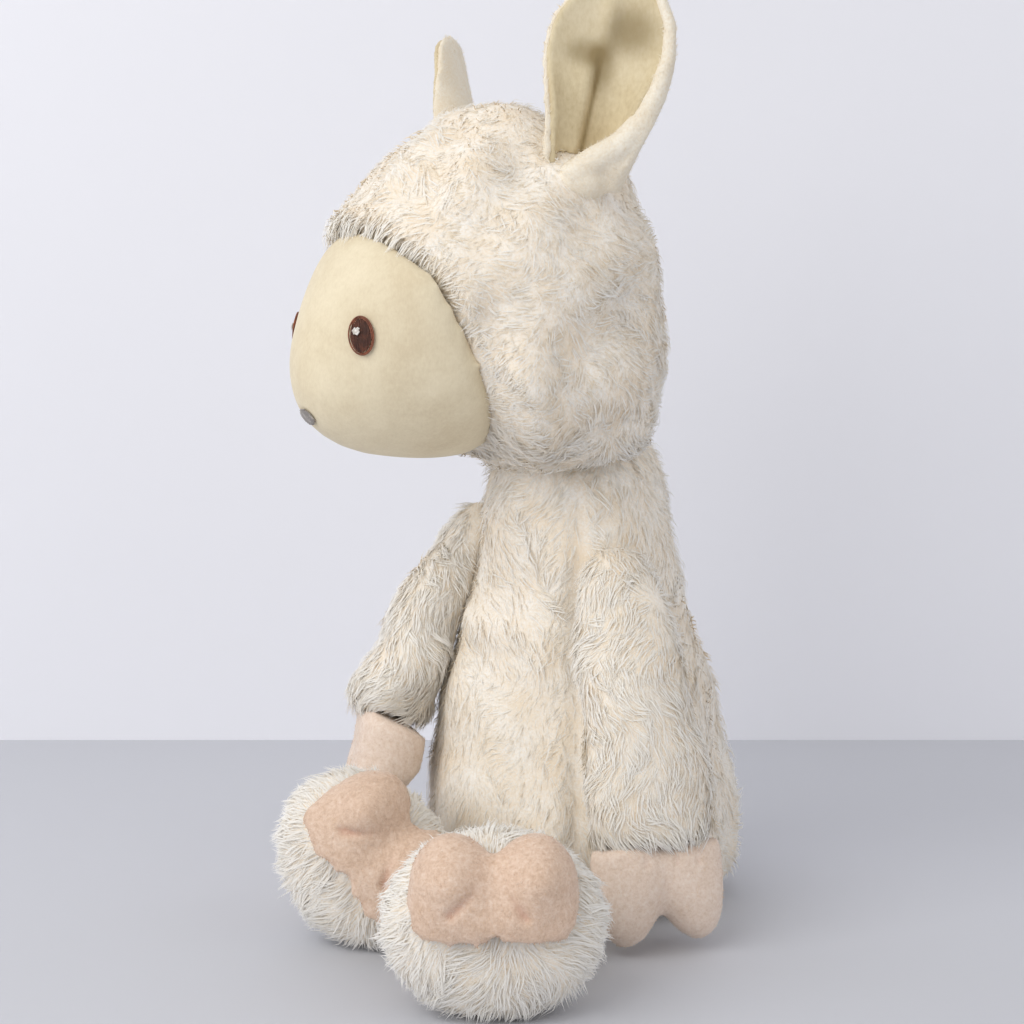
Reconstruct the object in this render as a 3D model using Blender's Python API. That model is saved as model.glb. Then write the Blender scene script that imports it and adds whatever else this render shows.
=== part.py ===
"""A sitting plush llama: a pear-shaped fur body on a flat seat, a round fur head turned to its right
with a smooth stuffed face, two rolled leaf ears, arms that end in cloven hands, and short legs that
end in big round feet with padded two-toed soles. It faces -Y, its left is +X, and it sits on Z = 0."""

import math

import bmesh
import bpy
from mathutils import Matrix, Vector

# Clearance between sewn neighbours, in metres like every size here
GAP = 0.0003

# Torso, a turned pear that leans a little forward at the neck
SEAT_RADIUS = 0.060
BELLY_RADIUS = 0.077
BELLY_HEIGHT = 0.043
CHEST_RADIUS = 0.0655
CHEST_HEIGHT = 0.098
SHOULDER_RADIUS = 0.0535
SHOULDER_HEIGHT = 0.138
NECK_RADIUS = 0.0410
NECK_HEIGHT = 0.196
NECK_LEAN = 0.007
NECK_TUCK = 0.018

# Head, a drum-bottomed ball carried forward of the neck and turned to the toy's right
HEAD_RADIUS = 0.0750
HEAD_RISE = 0.097
HEAD_DROP = 0.060
HEAD_FORWARD = 0.040
HEAD_TURN = math.radians(-20)
HEAD_SINK = 0.006
CROWN_ROUNDNESS = 2.25
JAW_ROUNDNESS = 5.0

# Face, a stuffed lobe on a seam plane that tips down and forward
SEAM_TILT = math.radians(30.5)
SEAM_AHEAD = 0.0396
SEAM_DROP = 0.0045
FACE_HALF_WIDTH = 0.0545
FACE_HALF_HEIGHT = 0.0570
MUZZLE_LENGTH = 0.061

# Embroidery on the face
THREAD = 0.0009
EYE_WIDTH = 0.0114
EYE_HEIGHT = 0.0165
EYE_RIM = 0.0012
GLINT_SIZE = 0.0032
EYE_BEARING = math.radians(42)
EYE_RAISE = math.radians(27)
EYE_LEAN = math.radians(10)
NOSE_WIDTH = 0.011
NOSE_HEIGHT = 0.008
NOSE_RAISE = math.radians(-1)

# Ears, leaves of two cloth layers rolled at the root
EAR_LENGTH = 0.090
EAR_FLAT_WIDTH = 0.054
EAR_LAYER = 0.0028
EAR_HEM = 0.05
EAR_ROOT_ROLL = math.radians(160)
EAR_TIP_ROLL = math.radians(42)
EAR_OUTWARD = {"left": math.radians(6), "right": math.radians(36)}
EAR_BACKWARD = {"left": math.radians(4), "right": math.radians(8)}
EAR_FACING = {"left": math.radians(58), "right": math.radians(33)}
EAR_SPREAD = 0.049
EAR_BEHIND = 0.022
EAR_ROOT_RISE = 0.058

# Arms, flattened sleeves sewn at the shoulders
ARM_HALF_WIDTH = 0.0285
ARM_HALF_THICKNESS = 0.0195
ARM_TOP_HEIGHT = 0.164
ARM_TUCK = 0.016

ARM_BEARING = {"left": math.radians(57), "right": math.radians(72)}
ARM_SWING = {"left": math.radians(0), "right": math.radians(29)}
ARM_DROP = {"left": 0.118, "right": 0.086}

# Hands, cloven and flat
HAND_LENGTH = 0.0425
HAND_HALF_WIDTH = 0.0300
HAND_HALF_THICKNESS = 0.0130
HAND_CLEFT = 0.014
HAND_TOE = 0.58
HAND_CORNER = 0.30

# Legs and feet, splayed towards the toy's left
LEG_RADIUS = 0.020
LEG_HEIGHT = 0.026
HIP_REACH = 0.017
HIP_AHEAD = 0.045
FOOT_HALF_WIDTH = 0.0455
FOOT_HALF_DEPTH = 0.0290
FOOT_HALF_HEIGHT = 0.0385
FOOT_PRESS = 0.0030
FOOT_SQUARENESS = 2.5
FOOT_REACH = {"left": 0.1745, "right": 0.126}
FOOT_BEARING = {"left": math.radians(27), "right": math.radians(-9)}
FOOT_FACING = {"left": math.radians(40), "right": math.radians(33)}
FOOT_ROLL = {"left": math.radians(0), "right": math.radians(-50)}
FOOT_LIFT = 0.10

# Soles, each a pad with two toes at the top of the foot
PAD_HALF_WIDTH = 0.0345
PAD_ROOT = -0.006
PAD_TIP = 0.0390
PAD_CLEFT = 0.008
PAD_TOE = 0.47
PAD_CORNER = 0.42
PAD_HALF_DEPTH = 0.0150
PAD_PROUD = 0.0065
PAD_LEAN = -0.10

SIDES = {"left": 1, "right": -1}
ROUND = 32


def clear_scene():
    for obj in list(bpy.data.objects):
        bpy.data.objects.remove(obj)


def material(name, colour, roughness):
    made = bpy.data.materials.new(name)
    made.use_nodes = True
    shader = made.node_tree.nodes["Principled BSDF"]
    shader.inputs["Base Color"].default_value = (*colour, 1)
    shader.inputs["Roughness"].default_value = roughness
    made.diffuse_color = (*colour, 1)
    return made


def through(stations, steps):
    """Rows on a smooth curve through the stations, with `steps` rows to each stretch."""
    rows = [Vector(station) for station in stations]
    ends = [2 * rows[0] - rows[1], *rows, 2 * rows[-1] - rows[-2]]
    made = []
    for before, here, there, after in zip(ends, ends[1:], ends[2:], ends[3:]):
        for step in range(steps):
            t = step / steps
            bend = 2 * here + (there - before) * t
            bend += (2 * before - 5 * here + 4 * there - after) * t * t
            bend += (3 * here - before - 3 * there + after) * t ** 3
            made.append(bend / 2)
    return made + [rows[-1]]


def finish(bm, name, finish_material, frame=None):
    """Turns a bmesh into a named object, smooth shaded, in the frame of an empty if one is given."""
    bmesh.ops.recalc_face_normals(bm, faces=bm.faces)
    mesh = bpy.data.meshes.new(name)
    bm.to_mesh(mesh)
    bm.free()
    obj = bpy.data.objects.new(name, mesh)
    bpy.context.scene.collection.objects.link(obj)
    mesh.shade_smooth()
    mesh.set_sharp_from_angle(angle=math.radians(50))
    if finish_material:
        mesh.materials.append(finish_material)
    obj.parent = frame
    return obj


def loft(rings):
    """A closed bmesh through rings of points, where a ring of one point is a pole."""
    bm = bmesh.new()
    loops = [[bm.verts.new(point) for point in ring] for ring in rings]
    for low, high in zip(loops, loops[1:]):
        count = max(len(low), len(high))
        for i in range(count):
            j = (i + 1) % count
            corners = [low[i % len(low)], low[j % len(low)], high[j % len(high)], high[i % len(high)]]
            bm.faces.new(list(dict.fromkeys(corners)))
    for end in (loops[0], loops[-1]):
        if len(end) > 1:
            bm.faces.new(end)
    return bm


def oval(centre, across, along, sides=ROUND, power=2.0):
    """Points of an ellipse about a centre, with its two half axes as vectors. A higher power squares it."""
    points = []
    for i in range(sides):
        turn = 2 * math.pi * i / sides
        right, up = math.cos(turn), math.sin(turn)
        scale = (abs(right) ** power + abs(up) ** power) ** (-1 / power)
        points.append(centre + (across * right + along * up) * scale)
    return points


def ball(radii, matrix, sides=24):
    """A bmesh ellipsoid with its half axes along the axes of a matrix."""
    bm = bmesh.new()
    size = Matrix.Diagonal((*radii, 1))
    bmesh.ops.create_uvsphere(bm, u_segments=sides, v_segments=sides * 2 // 3, radius=1, matrix=matrix @ size)
    return bm


def helper(bm, name, frame=None):
    """A cutter or a guide, which isn't a piece of the toy."""
    obj = finish(bm, name, None, frame)
    obj.hide_render = True
    obj.display_type = "WIRE"
    return obj


def boolean(obj, operation, other):
    modifier = obj.modifiers.new(f"{operation.lower()} {other.name}", "BOOLEAN")
    modifier.operation = operation
    modifier.object = other


def floor_cutter():
    """A slab under the table's surface, which flattens what rests on it."""
    bm = bmesh.new()
    bmesh.ops.create_cube(bm, size=1, matrix=Matrix.Translation((0, 0, -0.5)))
    return helper(bm, "floor_cutter")


def torso_profile():
    """Rows of height, radius and forward lean, from the seat to the hidden top of the neck."""
    seat_roll = (SEAT_RADIUS + 2 * BELLY_RADIUS) / 3
    stations = [
        (0, SEAT_RADIUS, 0),
        (BELLY_HEIGHT * 0.22, seat_roll, 0),
        (BELLY_HEIGHT, BELLY_RADIUS, 0),
        (CHEST_HEIGHT, CHEST_RADIUS, NECK_LEAN * 0.3),
        (SHOULDER_HEIGHT, SHOULDER_RADIUS, NECK_LEAN * 0.6),
        (NECK_HEIGHT, NECK_RADIUS, NECK_LEAN),
        (NECK_HEIGHT + NECK_TUCK, NECK_RADIUS * 0.55, NECK_LEAN),
    ]
    return through(stations, 3)


def torso_shape(grow=0.0):
    rings = []
    for height, radius, lean in torso_profile():
        centre = Vector((0, -lean, height))
        rings.append(oval(centre, Vector((radius + grow, 0, 0)), Vector((0, radius + grow, 0))))
    return loft(rings)


def torso_at(height):
    """The radius and the forward lean of the torso at a height."""
    rows = torso_profile()
    for low, high in zip(rows, rows[1:]):
        if low[0] <= height <= high[0]:
            share = (height - low[0]) / (high[0] - low[0])
            mixed = low.lerp(high, share)
            return mixed[1], mixed[2]
    return rows[-1][1], rows[-1][2]


def head_frame():
    """The empty at the head's centre, which carries everything on the head."""
    frame = bpy.data.objects.new("head_frame", None)
    bpy.context.scene.collection.objects.link(frame)
    forward = Vector((math.sin(HEAD_TURN), -math.cos(HEAD_TURN), 0)) * HEAD_FORWARD
    centre = Vector((0, -NECK_LEAN, NECK_HEIGHT + HEAD_SINK + HEAD_DROP)) + forward
    frame.location = centre
    frame.rotation_euler = (0, 0, HEAD_TURN)
    return frame


def head_shape(grow=0.0):
    """A turned ball in the head's frame, rounder at the crown and squarer at the jaw."""
    steps = 9
    rings = [[Vector((0, 0, HEAD_RISE + grow))]]
    for step in range(1, 2 * steps):
        angle = math.pi * step / (2 * steps)
        height, width = math.cos(angle), math.sin(angle)
        power, reach = (CROWN_ROUNDNESS, HEAD_RISE) if height > 0 else (JAW_ROUNDNESS, HEAD_DROP)
        scale = (abs(height) ** power + width ** power) ** (-1 / power)
        radius = HEAD_RADIUS * width * scale + grow
        centre = Vector((0, 0, math.copysign(reach * abs(height) * scale + grow, height)))
        rings.append(oval(centre, Vector((radius, 0, 0)), Vector((0, radius, 0))))
    rings.append([Vector((0, 0, -HEAD_DROP - grow))])
    return loft(rings)


def seam_axes():
    """The face seam's centre, its outward normal and its upward direction, in the head's frame."""
    centre = Vector((0, -SEAM_AHEAD, -SEAM_DROP))
    normal = Vector((0, -math.cos(SEAM_TILT), -math.sin(SEAM_TILT)))
    upward = Vector((0, -math.sin(SEAM_TILT), math.cos(SEAM_TILT)))
    return centre, normal, upward


def face_shape(grow=0.0):
    """The stuffed face: full cheeks at the seam, tapering evenly to a blunt muzzle."""
    seam, normal, upward = seam_axes()
    across = Vector((1, 0, 0))
    stations = [
        (0.00, 1.00),
        (0.17, 0.96),
        (0.38, 0.84),
        (0.60, 0.67),
        (0.80, 0.48),
        (0.92, 0.30),
        (0.98, 0.15),
    ]
    rings = []
    for share, fullness in through(stations, 2):
        centre = seam + normal * (GAP + (MUZZLE_LENGTH + grow) * share)
        wide = FACE_HALF_WIDTH * fullness + grow
        tall = FACE_HALF_HEIGHT * fullness + grow
        rings.append(oval(centre, across * wide, upward * tall))
    rings.append([seam + normal * (GAP + MUZZLE_LENGTH + grow)])
    return loft(rings)


def face_direction(bearing, raised):
    """The direction from the middle of the seam, turned to the left and then raised."""
    _, normal, upward = seam_axes()
    level = normal * math.cos(bearing) + Vector((1, 0, 0)) * math.sin(bearing)
    return level * math.cos(raised) + upward * math.sin(raised)


def thread_cutter(name, frame, bearing, raised, lean, half_width, half_height, shift=(0, 0)):
    """An oval post that stands out through the face, for one patch of embroidery."""
    seam, _, upward = seam_axes()
    out = face_direction(bearing, raised)
    up = (upward - out * upward.dot(out)).normalized()
    side = up.cross(out)
    up, side = up * math.cos(lean) + side * math.sin(lean), side * math.cos(lean) - up * math.sin(lean)
    middle = seam + side * shift[0] + up * shift[1]
    reach = MUZZLE_LENGTH + FACE_HALF_WIDTH
    rings = [oval(middle + out * far, side * half_width, up * half_height, 24) for far in (0.01, reach)]
    return helper(loft(rings), name, frame)


def thread_patch(name, frame, finish_material, lift, *cutters):
    """A thin layer of thread that follows the face, inside the first cutter and outside the rest."""
    patch = finish(face_shape(lift + THREAD), name, finish_material, frame)
    inner = helper(face_shape(lift), f"{name}_under", frame)
    boolean(patch, "INTERSECT", cutters[0])
    boolean(patch, "DIFFERENCE", inner)
    for cutter in cutters[1:]:
        boolean(patch, "DIFFERENCE", cutter)
    return patch


def embroidery(frame, threads):
    """The eyes, each an oval with a rim and a glint, and the small nose."""
    half = (EYE_WIDTH / 2, EYE_HEIGHT / 2)
    for side, sign in SIDES.items():
        place = (sign * EYE_BEARING, EYE_RAISE, sign * EYE_LEAN)
        outer = thread_cutter(f"eye_edge_{side}", frame, *place, *half)
        inner = thread_cutter(f"eye_inside_{side}", frame, *place, *[h - EYE_RIM for h in half])
        moat = thread_cutter(f"eye_moat_{side}", frame, *place, *[h - EYE_RIM + GAP for h in half])
        shift = (-sign * EYE_WIDTH * 0.12, EYE_HEIGHT * 0.12)
        spot = thread_cutter(f"glint_edge_{side}", frame, *place, GLINT_SIZE / 2, GLINT_SIZE / 2, shift)
        thread_patch(f"eye_rim_{side}", frame, threads["rim"], GAP, outer, moat)
        thread_patch(f"eye_{side}", frame, threads["eye"], GAP, inner)
        thread_patch(f"eye_glint_{side}", frame, threads["glint"], 2 * GAP + THREAD, spot)
    edge = thread_cutter("nose_edge", frame, 0, NOSE_RAISE, 0, NOSE_WIDTH / 2, NOSE_HEIGHT / 2)
    thread_patch("nose", frame, threads["nose"], GAP, edge)


def ear_point(along, across, depth):
    """A point of the rolled leaf in the ear's frame: along its length, across its width, and through it."""
    roll = EAR_ROOT_ROLL + (EAR_TIP_ROLL - EAR_ROOT_ROLL) * min(1, along / 0.62) ** 0.75
    belly = 0.66 + 0.34 * math.sin(math.pi / 2 * min(1, along / 0.55))
    width = EAR_FLAT_WIDTH * belly * (1 - max(0, (along - 0.52) / 0.48) ** 2.3) ** 0.5
    radius = EAR_FLAT_WIDTH * belly / (2 * roll)
    turn = across * roll * width / (EAR_FLAT_WIDTH * belly)
    reach = radius + depth
    return Vector((reach * math.sin(turn), radius - reach * math.cos(turn), EAR_LENGTH * along))


def ear_layer(low, high, inset=0.0):
    """One cloth layer of the ear between two depths, as a closed bmesh."""
    rows, columns = 14, 14
    bm = bmesh.new()
    sheets = []
    for depth in (low, high):
        sheet = []
        for row in range(rows + 1):
            along = min((row / rows) ** 0.9, 1 - inset)
            line = []
            for column in range(columns + 1):
                across = max(inset - 1, min(2 * column / columns - 1, 1 - inset))
                line.append(bm.verts.new(ear_point(along, across, depth)))
            sheet.append(line)
        sheets.append(sheet)
    under, over = sheets
    for row in range(rows):
        for column in range(columns):
            for near, far in ((under[row], under[row + 1]), (over[row], over[row + 1])):
                bm.faces.new([near[column], near[column + 1], far[column + 1]])
                bm.faces.new([near[column], far[column + 1], far[column]])
    edge = [(0, column) for column in range(columns)] + [(row, columns) for row in range(rows)]
    edge += [(rows, column) for column in range(columns, 0, -1)] + [(row, 0) for row in range(rows, 0, -1)]
    for (a, b), (c, d) in zip(edge, edge[1:] + edge[:1]):
        bm.faces.new([under[a][b], over[a][b], over[c][d], under[c][d]])
    bmesh.ops.remove_doubles(bm, verts=bm.verts, dist=0.00002)
    return bm


def ear_frame(head, side, sign):
    """The empty at an ear's root, with its opening towards the front and outside."""
    frame = bpy.data.objects.new(f"ear_frame_{side}", None)
    bpy.context.scene.collection.objects.link(frame)
    frame.parent = head
    frame.location = (sign * EAR_SPREAD, EAR_BEHIND, EAR_ROOT_RISE)
    lean = Matrix.Rotation(sign * EAR_OUTWARD[side], 4, "Y") @ Matrix.Rotation(-EAR_BACKWARD[side], 4, "X")
    facing = Matrix.Rotation(math.pi + sign * EAR_FACING[side], 4, "Z")
    frame.rotation_euler = (lean @ facing).to_euler()
    return frame


def ears(head, cloth, lining):
    for side, sign in SIDES.items():
        frame = ear_frame(head, side, sign)
        root = helper(head_shape(GAP), f"ear_root_cutter_{side}", head)
        back = finish(ear_layer(GAP, GAP + EAR_LAYER), f"ear_back_{side}", cloth, frame)
        inside = finish(ear_layer(-GAP - EAR_LAYER, -GAP, EAR_HEM), f"ear_lining_{side}", lining, frame)
        for layer in (back, inside):
            boolean(layer, "DIFFERENCE", root)


def limb(points, wide, thick, facing, profile, steps=3):
    """A stuffed sleeve along a line of points, flat towards `facing`, as full at each share as the profile says."""
    rings = []
    for share, fullness in through(profile, steps):
        place = share * (len(points) - 1)
        low = min(int(place), len(points) - 2)
        centre = points[low].lerp(points[low + 1], place - low)
        along = (points[low + 1] - points[low]).normalized()
        out = (facing - along * facing.dot(along)).normalized()
        side = along.cross(out)
        if fullness < 0.02:
            rings.append([centre])
        else:
            rings.append(oval(centre, side * wide * fullness, out * thick * fullness, 20))
    return loft(rings)


def arm_path(bearing, swing, drop):
    """The arm's centre line: from the shoulder down the torso's side, swung round it towards the front."""
    points = []
    for share in (0, 0.33, 0.67, 1):
        height = ARM_TOP_HEIGHT - drop * share
        turned = bearing - math.copysign(swing * math.sin(share * math.pi / 2), bearing)
        out = Vector((math.sin(turned), -math.cos(turned), 0))
        radius, lean = torso_at(height)
        reach = radius + ARM_HALF_THICKNESS - ARM_TUCK * (1 - share) ** 2
        points.append(Vector((0, -lean, height)) + out * reach)
    return through(points, 4), out


def cloven(half_width, span, cleft, half_thickness, toe, corner):
    """A flat stuffed piece that ends in two toes: ovals side by side across its width, each as long as it is there.

    It lies in its own X (across) and Z (from root to tip), and is thickest along Y. Each toe's middle is a
    share `toe` of the way out, and the outer corners are cut back by a share `corner` of the length."""
    root, tip = span
    length = tip - root
    rings = []
    steps = 20
    for step in range(steps + 1):
        share = 2 * step / steps - 1
        away = abs(share)
        valley = max(0.0, 1 - away / toe) ** 2
        shoulder = max(0.0, (away - toe) / (1 - toe)) ** 2.4
        end = tip - cleft * valley - length * corner * shoulder
        start = root + length * 0.25 * away ** 4
        centre = Vector((half_width * share, 0, (start + end) / 2))
        if step in (0, steps):
            rings.append([centre])
            continue
        thick = half_thickness * (1 - away ** 4) ** 0.5 * (1 - 0.22 * valley)
        rings.append(oval(centre, Vector((0, thick, 0)), Vector((0, 0, (end - start) / 2)), 16, 2.5))
    return loft(rings)


def placed(obj, origin, along, facing):
    """Stands an object's Z along a direction and its -Y towards another, as near as that allows."""
    up = along.normalized()
    back = -(facing - up * facing.dot(up)).normalized()
    right = back.cross(up)
    turn = Matrix((right, back, up)).transposed()
    obj.matrix_world = Matrix.Translation(origin) @ turn.to_4x4()
    return obj


def arms(torso, fur, peach):
    for side, sign in SIDES.items():
        points, out = arm_path(sign * ARM_BEARING[side], ARM_SWING[side], ARM_DROP[side])
        profile = [(0, 0), (0.02, 0.34), (0.12, 0.72), (0.45, 0.92), (0.80, 1), (1, 0.97)]
        sleeve = limb(points, ARM_HALF_WIDTH, ARM_HALF_THICKNESS, out, profile)
        arm = finish(sleeve, f"arm_{side}", fur)
        boolean(arm, "DIFFERENCE", torso)
        down = (points[-1] - points[-2]).normalized()
        root = points[-1] + down * GAP
        span = (-HAND_LENGTH * 0.4, HAND_LENGTH)
        bm = cloven(HAND_HALF_WIDTH, span, HAND_CLEFT, HAND_HALF_THICKNESS, HAND_TOE, HAND_CORNER)
        bmesh.ops.bisect_plane(
            bm, geom=[*bm.verts, *bm.edges, *bm.faces], plane_co=(0, 0, 0), plane_no=(0, 0, -1), clear_outer=True
        )
        bmesh.ops.holes_fill(bm, edges=bm.edges)
        hand = finish(bm, f"hand_{side}", peach)
        placed(hand, root, down, out)


def foot_shape(grow=0.0):
    """The foot's cushion in its own frame, with its sole towards -Y."""
    steps = 14
    rings = []
    for step in range(steps + 1):
        angle = math.pi * step / steps
        ahead, full = -math.cos(angle), math.sin(angle)
        scale = (abs(ahead) ** FOOT_SQUARENESS + full ** FOOT_SQUARENESS) ** (-1 / FOOT_SQUARENESS)
        centre = Vector((0, (FOOT_HALF_DEPTH + grow) * ahead * scale, 0))
        if step in (0, steps):
            rings.append([centre])
            continue
        across = Vector(((FOOT_HALF_WIDTH + grow) * full * scale, 0, 0))
        along = Vector((0, 0, (FOOT_HALF_HEIGHT + grow) * full * scale))
        rings.append(oval(centre, across, along))
    return loft(rings)


def legs_and_feet(floor, fur, peach):
    for side, sign in SIDES.items():
        reach, bearing = FOOT_REACH[side], FOOT_BEARING[side]
        centre = Vector((math.sin(bearing), -math.cos(bearing), 0)) * reach
        centre.z = FOOT_HALF_HEIGHT - FOOT_PRESS
        facing = Vector((math.sin(FOOT_FACING[side]), -math.cos(FOOT_FACING[side]), FOOT_LIFT))
        up = Matrix.Rotation(FOOT_ROLL[side], 3, facing) @ Vector((0, 0, 1))
        foot = placed(finish(foot_shape(), f"foot_{side}", fur), centre, up, facing)
        grown = placed(helper(foot_shape(GAP), f"foot_cutter_{side}"), centre, up, facing)
        boolean(foot, "DIFFERENCE", floor)

        bm = cloven(PAD_HALF_WIDTH, (PAD_ROOT, PAD_TIP), PAD_CLEFT, PAD_HALF_DEPTH, PAD_TOE, PAD_CORNER)
        sole = finish(bm, f"sole_{side}", peach)
        ahead = facing.normalized() * (FOOT_HALF_DEPTH - PAD_HALF_DEPTH + PAD_PROUD)
        placed(sole, centre + ahead, up + facing.normalized() * PAD_LEAN, facing - up * PAD_LEAN)
        boolean(sole, "DIFFERENCE", grown)

        hip = Vector((sign * HIP_REACH, -HIP_AHEAD, LEG_HEIGHT))
        knee = hip.lerp(centre, 0.5)
        knee.z = LEG_RADIUS
        ankle = Vector((centre.x, centre.y, LEG_RADIUS + 0.004))
        profile = [(0, 0), (0.02, 0.6), (0.15, 1), (0.85, 1), (0.98, 0.6), (1, 0)]
        line = through([hip, knee, ankle], 4)
        leg = finish(limb(line, LEG_RADIUS, LEG_RADIUS, Vector((0, 0, 1)), profile, 2), f"leg_{side}", fur)
        boolean(leg, "DIFFERENCE", grown)
        boolean(leg, "DIFFERENCE", helper(torso_shape(GAP), f"hip_cutter_{side}"))
        boolean(leg, "DIFFERENCE", floor)


def main():
    clear_scene()
    fur = material("cream_fur", (0.86, 0.80, 0.70), 0.9)
    velour = material("cream_velour", (0.84, 0.76, 0.60), 0.8)
    satin = material("pale_lining", (0.80, 0.74, 0.60), 0.6)
    peach = material("peach_velour", (0.88, 0.68, 0.54), 0.8)
    threads = {
        "eye": material("brown_thread", (0.13, 0.045, 0.02), 0.45),
        "rim": material("light_brown_thread", (0.33, 0.14, 0.08), 0.45),
        "glint": material("white_thread", (0.9, 0.9, 0.88), 0.45),
        "nose": material("grey_thread", (0.32, 0.28, 0.25), 0.5),
    }
    floor = floor_cutter()
    head_empty = head_frame()
    head = finish(head_shape(), "head", fur, head_empty)
    seam, normal, _ = seam_axes()
    slab = bmesh.new()
    facing = Matrix.Translation(seam + normal * 0.1) @ normal.to_track_quat("Z", "Y").to_matrix().to_4x4()
    bmesh.ops.create_cube(slab, size=1, matrix=facing @ Matrix.Diagonal((0.4, 0.4, 0.2, 1)))
    boolean(head, "DIFFERENCE", helper(slab, "seam_cutter", head_empty))
    finish(face_shape(), "face", velour, head_empty)
    embroidery(head_empty, threads)
    ears(head_empty, velour, satin)
    torso = finish(torso_shape(), "torso", fur)
    boolean(torso, "DIFFERENCE", helper(head_shape(GAP), "neck_cutter", head_empty))
    arms(helper(torso_shape(GAP), "shoulder_cutter"), fur, peach)
    legs_and_feet(floor, fur, peach)


main()
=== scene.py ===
"""A plush llama sitting on a pale table: stuffed covers, long pile, short velour and embroidery."""

import math

import bpy
import numpy as np
from mathutils import Matrix, Vector
from mathutils.bvhtree import BVHTree
from mathutils.kdtree import KDTree


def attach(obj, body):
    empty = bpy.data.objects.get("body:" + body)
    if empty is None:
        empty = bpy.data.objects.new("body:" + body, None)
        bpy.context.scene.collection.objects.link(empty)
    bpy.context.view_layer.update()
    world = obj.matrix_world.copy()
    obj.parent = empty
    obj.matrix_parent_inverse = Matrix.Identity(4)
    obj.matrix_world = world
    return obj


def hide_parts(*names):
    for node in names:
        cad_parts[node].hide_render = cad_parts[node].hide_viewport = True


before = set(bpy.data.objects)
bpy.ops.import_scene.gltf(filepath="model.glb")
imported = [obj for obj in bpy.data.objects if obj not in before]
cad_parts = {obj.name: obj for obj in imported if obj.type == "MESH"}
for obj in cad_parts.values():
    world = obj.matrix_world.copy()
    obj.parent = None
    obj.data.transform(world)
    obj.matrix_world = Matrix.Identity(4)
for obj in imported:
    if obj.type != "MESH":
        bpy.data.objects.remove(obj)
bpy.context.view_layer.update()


# The table, the wall and the light
# The toy sits on a pale grey table in front of a whitewashed wall, in soft light from a window on its
# right. The camera stands off the toy's left front, a little above its face, and looks slightly down.
CAMERA_BEARING = math.radians(40)
CAMERA_REACH = 1.0
CAMERA_SIDE = -0.0323
CAMERA_HEIGHT = 0.297
CAMERA_DIP = math.radians(6.9)
PICTURE_WIDTH = 1024
PIXEL_AT_TOY = 0.455e-3
WALL_BEHIND = 0.305
STAGE_SIZE = 6
LIT_PLACE = Vector((0, -0.03, 0.18))
TABLE_COLOUR = (210, 212, 219)
WALL_COLOUR = (245, 246, 253)
ROOM_COLOUR = (241, 239, 237)
ROOM_LIGHT = 0.60

across_view = Vector((math.cos(CAMERA_BEARING), math.sin(CAMERA_BEARING), 0))
towards_camera = Vector((math.sin(CAMERA_BEARING), -math.cos(CAMERA_BEARING), 0))


def lying(aside, ahead, height):
    """A place by the picture's own directions: to the right, towards the camera and up."""
    return across_view * aside + towards_camera * ahead + Vector((0, 0, height))


def linear(colour):
    """A colour from 0 to 255 a channel, as it is seen, in the linear values that the shaders take."""
    shares = [channel / 255 for channel in colour]
    return (*[s / 12.92 if s <= 0.04045 else ((s + 0.055) / 1.055) ** 2.4 for s in shares], 1)


def only(piece):
    """Selects this piece alone and makes it active."""
    bpy.ops.object.select_all(action="DESELECT")
    piece.select_set(True)
    bpy.context.view_layer.objects.active = piece


def node(tree, kind, **settings):
    """A new shader node. A setting named in capitals is an input's value, with _ for a space."""
    made = tree.nodes.new(kind)
    for key, value in settings.items():
        if key[0].isupper():
            made.inputs[key.replace("_", " ")].default_value = value
        else:
            setattr(made, key, value)
    return made


def finish_of(name, **settings):
    """A new material with these settings on its shader, the material's tree and the shader."""
    made = bpy.data.materials.new(name)
    made.use_nodes = True
    shader = made.node_tree.nodes["Principled BSDF"]
    for key, value in settings.items():
        shader.inputs[key.replace("_", " ")].default_value = value
    return made, made.node_tree, shader


def feed(tree, socket, value):
    """Gives a socket a value, or links it to another node's output."""
    if isinstance(value, bpy.types.NodeSocket):
        tree.links.new(value, socket)
    else:
        socket.default_value = value


def speckle(tree, scale, detail, place=None, **settings):
    """Noise over the piece's own coordinates, or over a place that is given."""
    made = node(tree, "ShaderNodeTexNoise", Scale=scale, Detail=detail, **settings)
    feed(tree, made.inputs["Vector"], place or node(tree, "ShaderNodeTexCoord").outputs["Object"])
    return made.outputs["Fac"]


def blended(tree, share, one, two, **settings):
    """Two colours mixed by a share."""
    made = node(tree, "ShaderNodeMix", data_type="RGBA", **settings)
    for key, value in (("Factor", share), ("A", one), ("B", two)):
        feed(tree, made.inputs[key], value)
    return made.outputs["Result"]


def stage_material(name, colour):
    """Matt paint or laminate, uneven by a hair, which isn't seen from behind."""
    made, tree, shader = finish_of(name, Roughness=0.75)
    darker = linear([channel - 5 for channel in colour])
    mottled = blended(tree, speckle(tree, scale=3.0, detail=5.0), linear(colour), darker)
    feed(tree, shader.inputs["Base Color"], mottled)
    side = node(tree, "ShaderNodeNewGeometry").outputs["Backfacing"]
    clear = node(tree, "ShaderNodeBsdfTransparent").outputs[0]
    mix = node(tree, "ShaderNodeMixShader")
    for socket, value in zip(mix.inputs, (side, shader.outputs[0], clear)):
        feed(tree, socket, value)
    feed(tree, tree.nodes["Material Output"].inputs["Surface"], mix.outputs[0])
    return made


bpy.ops.mesh.primitive_plane_add(size=STAGE_SIZE, location=(0, 0, 0))
table = bpy.context.object
table.name = "table"
table.data.materials.append(stage_material("grey_laminate", TABLE_COLOUR))
bpy.ops.mesh.primitive_plane_add(size=STAGE_SIZE, rotation=(math.radians(90), 0, CAMERA_BEARING))
wall = bpy.context.object
wall.name = "wall"
wall.location = -towards_camera * WALL_BEHIND
wall.data.materials.append(stage_material("whitewash", WALL_COLOUR))

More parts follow.
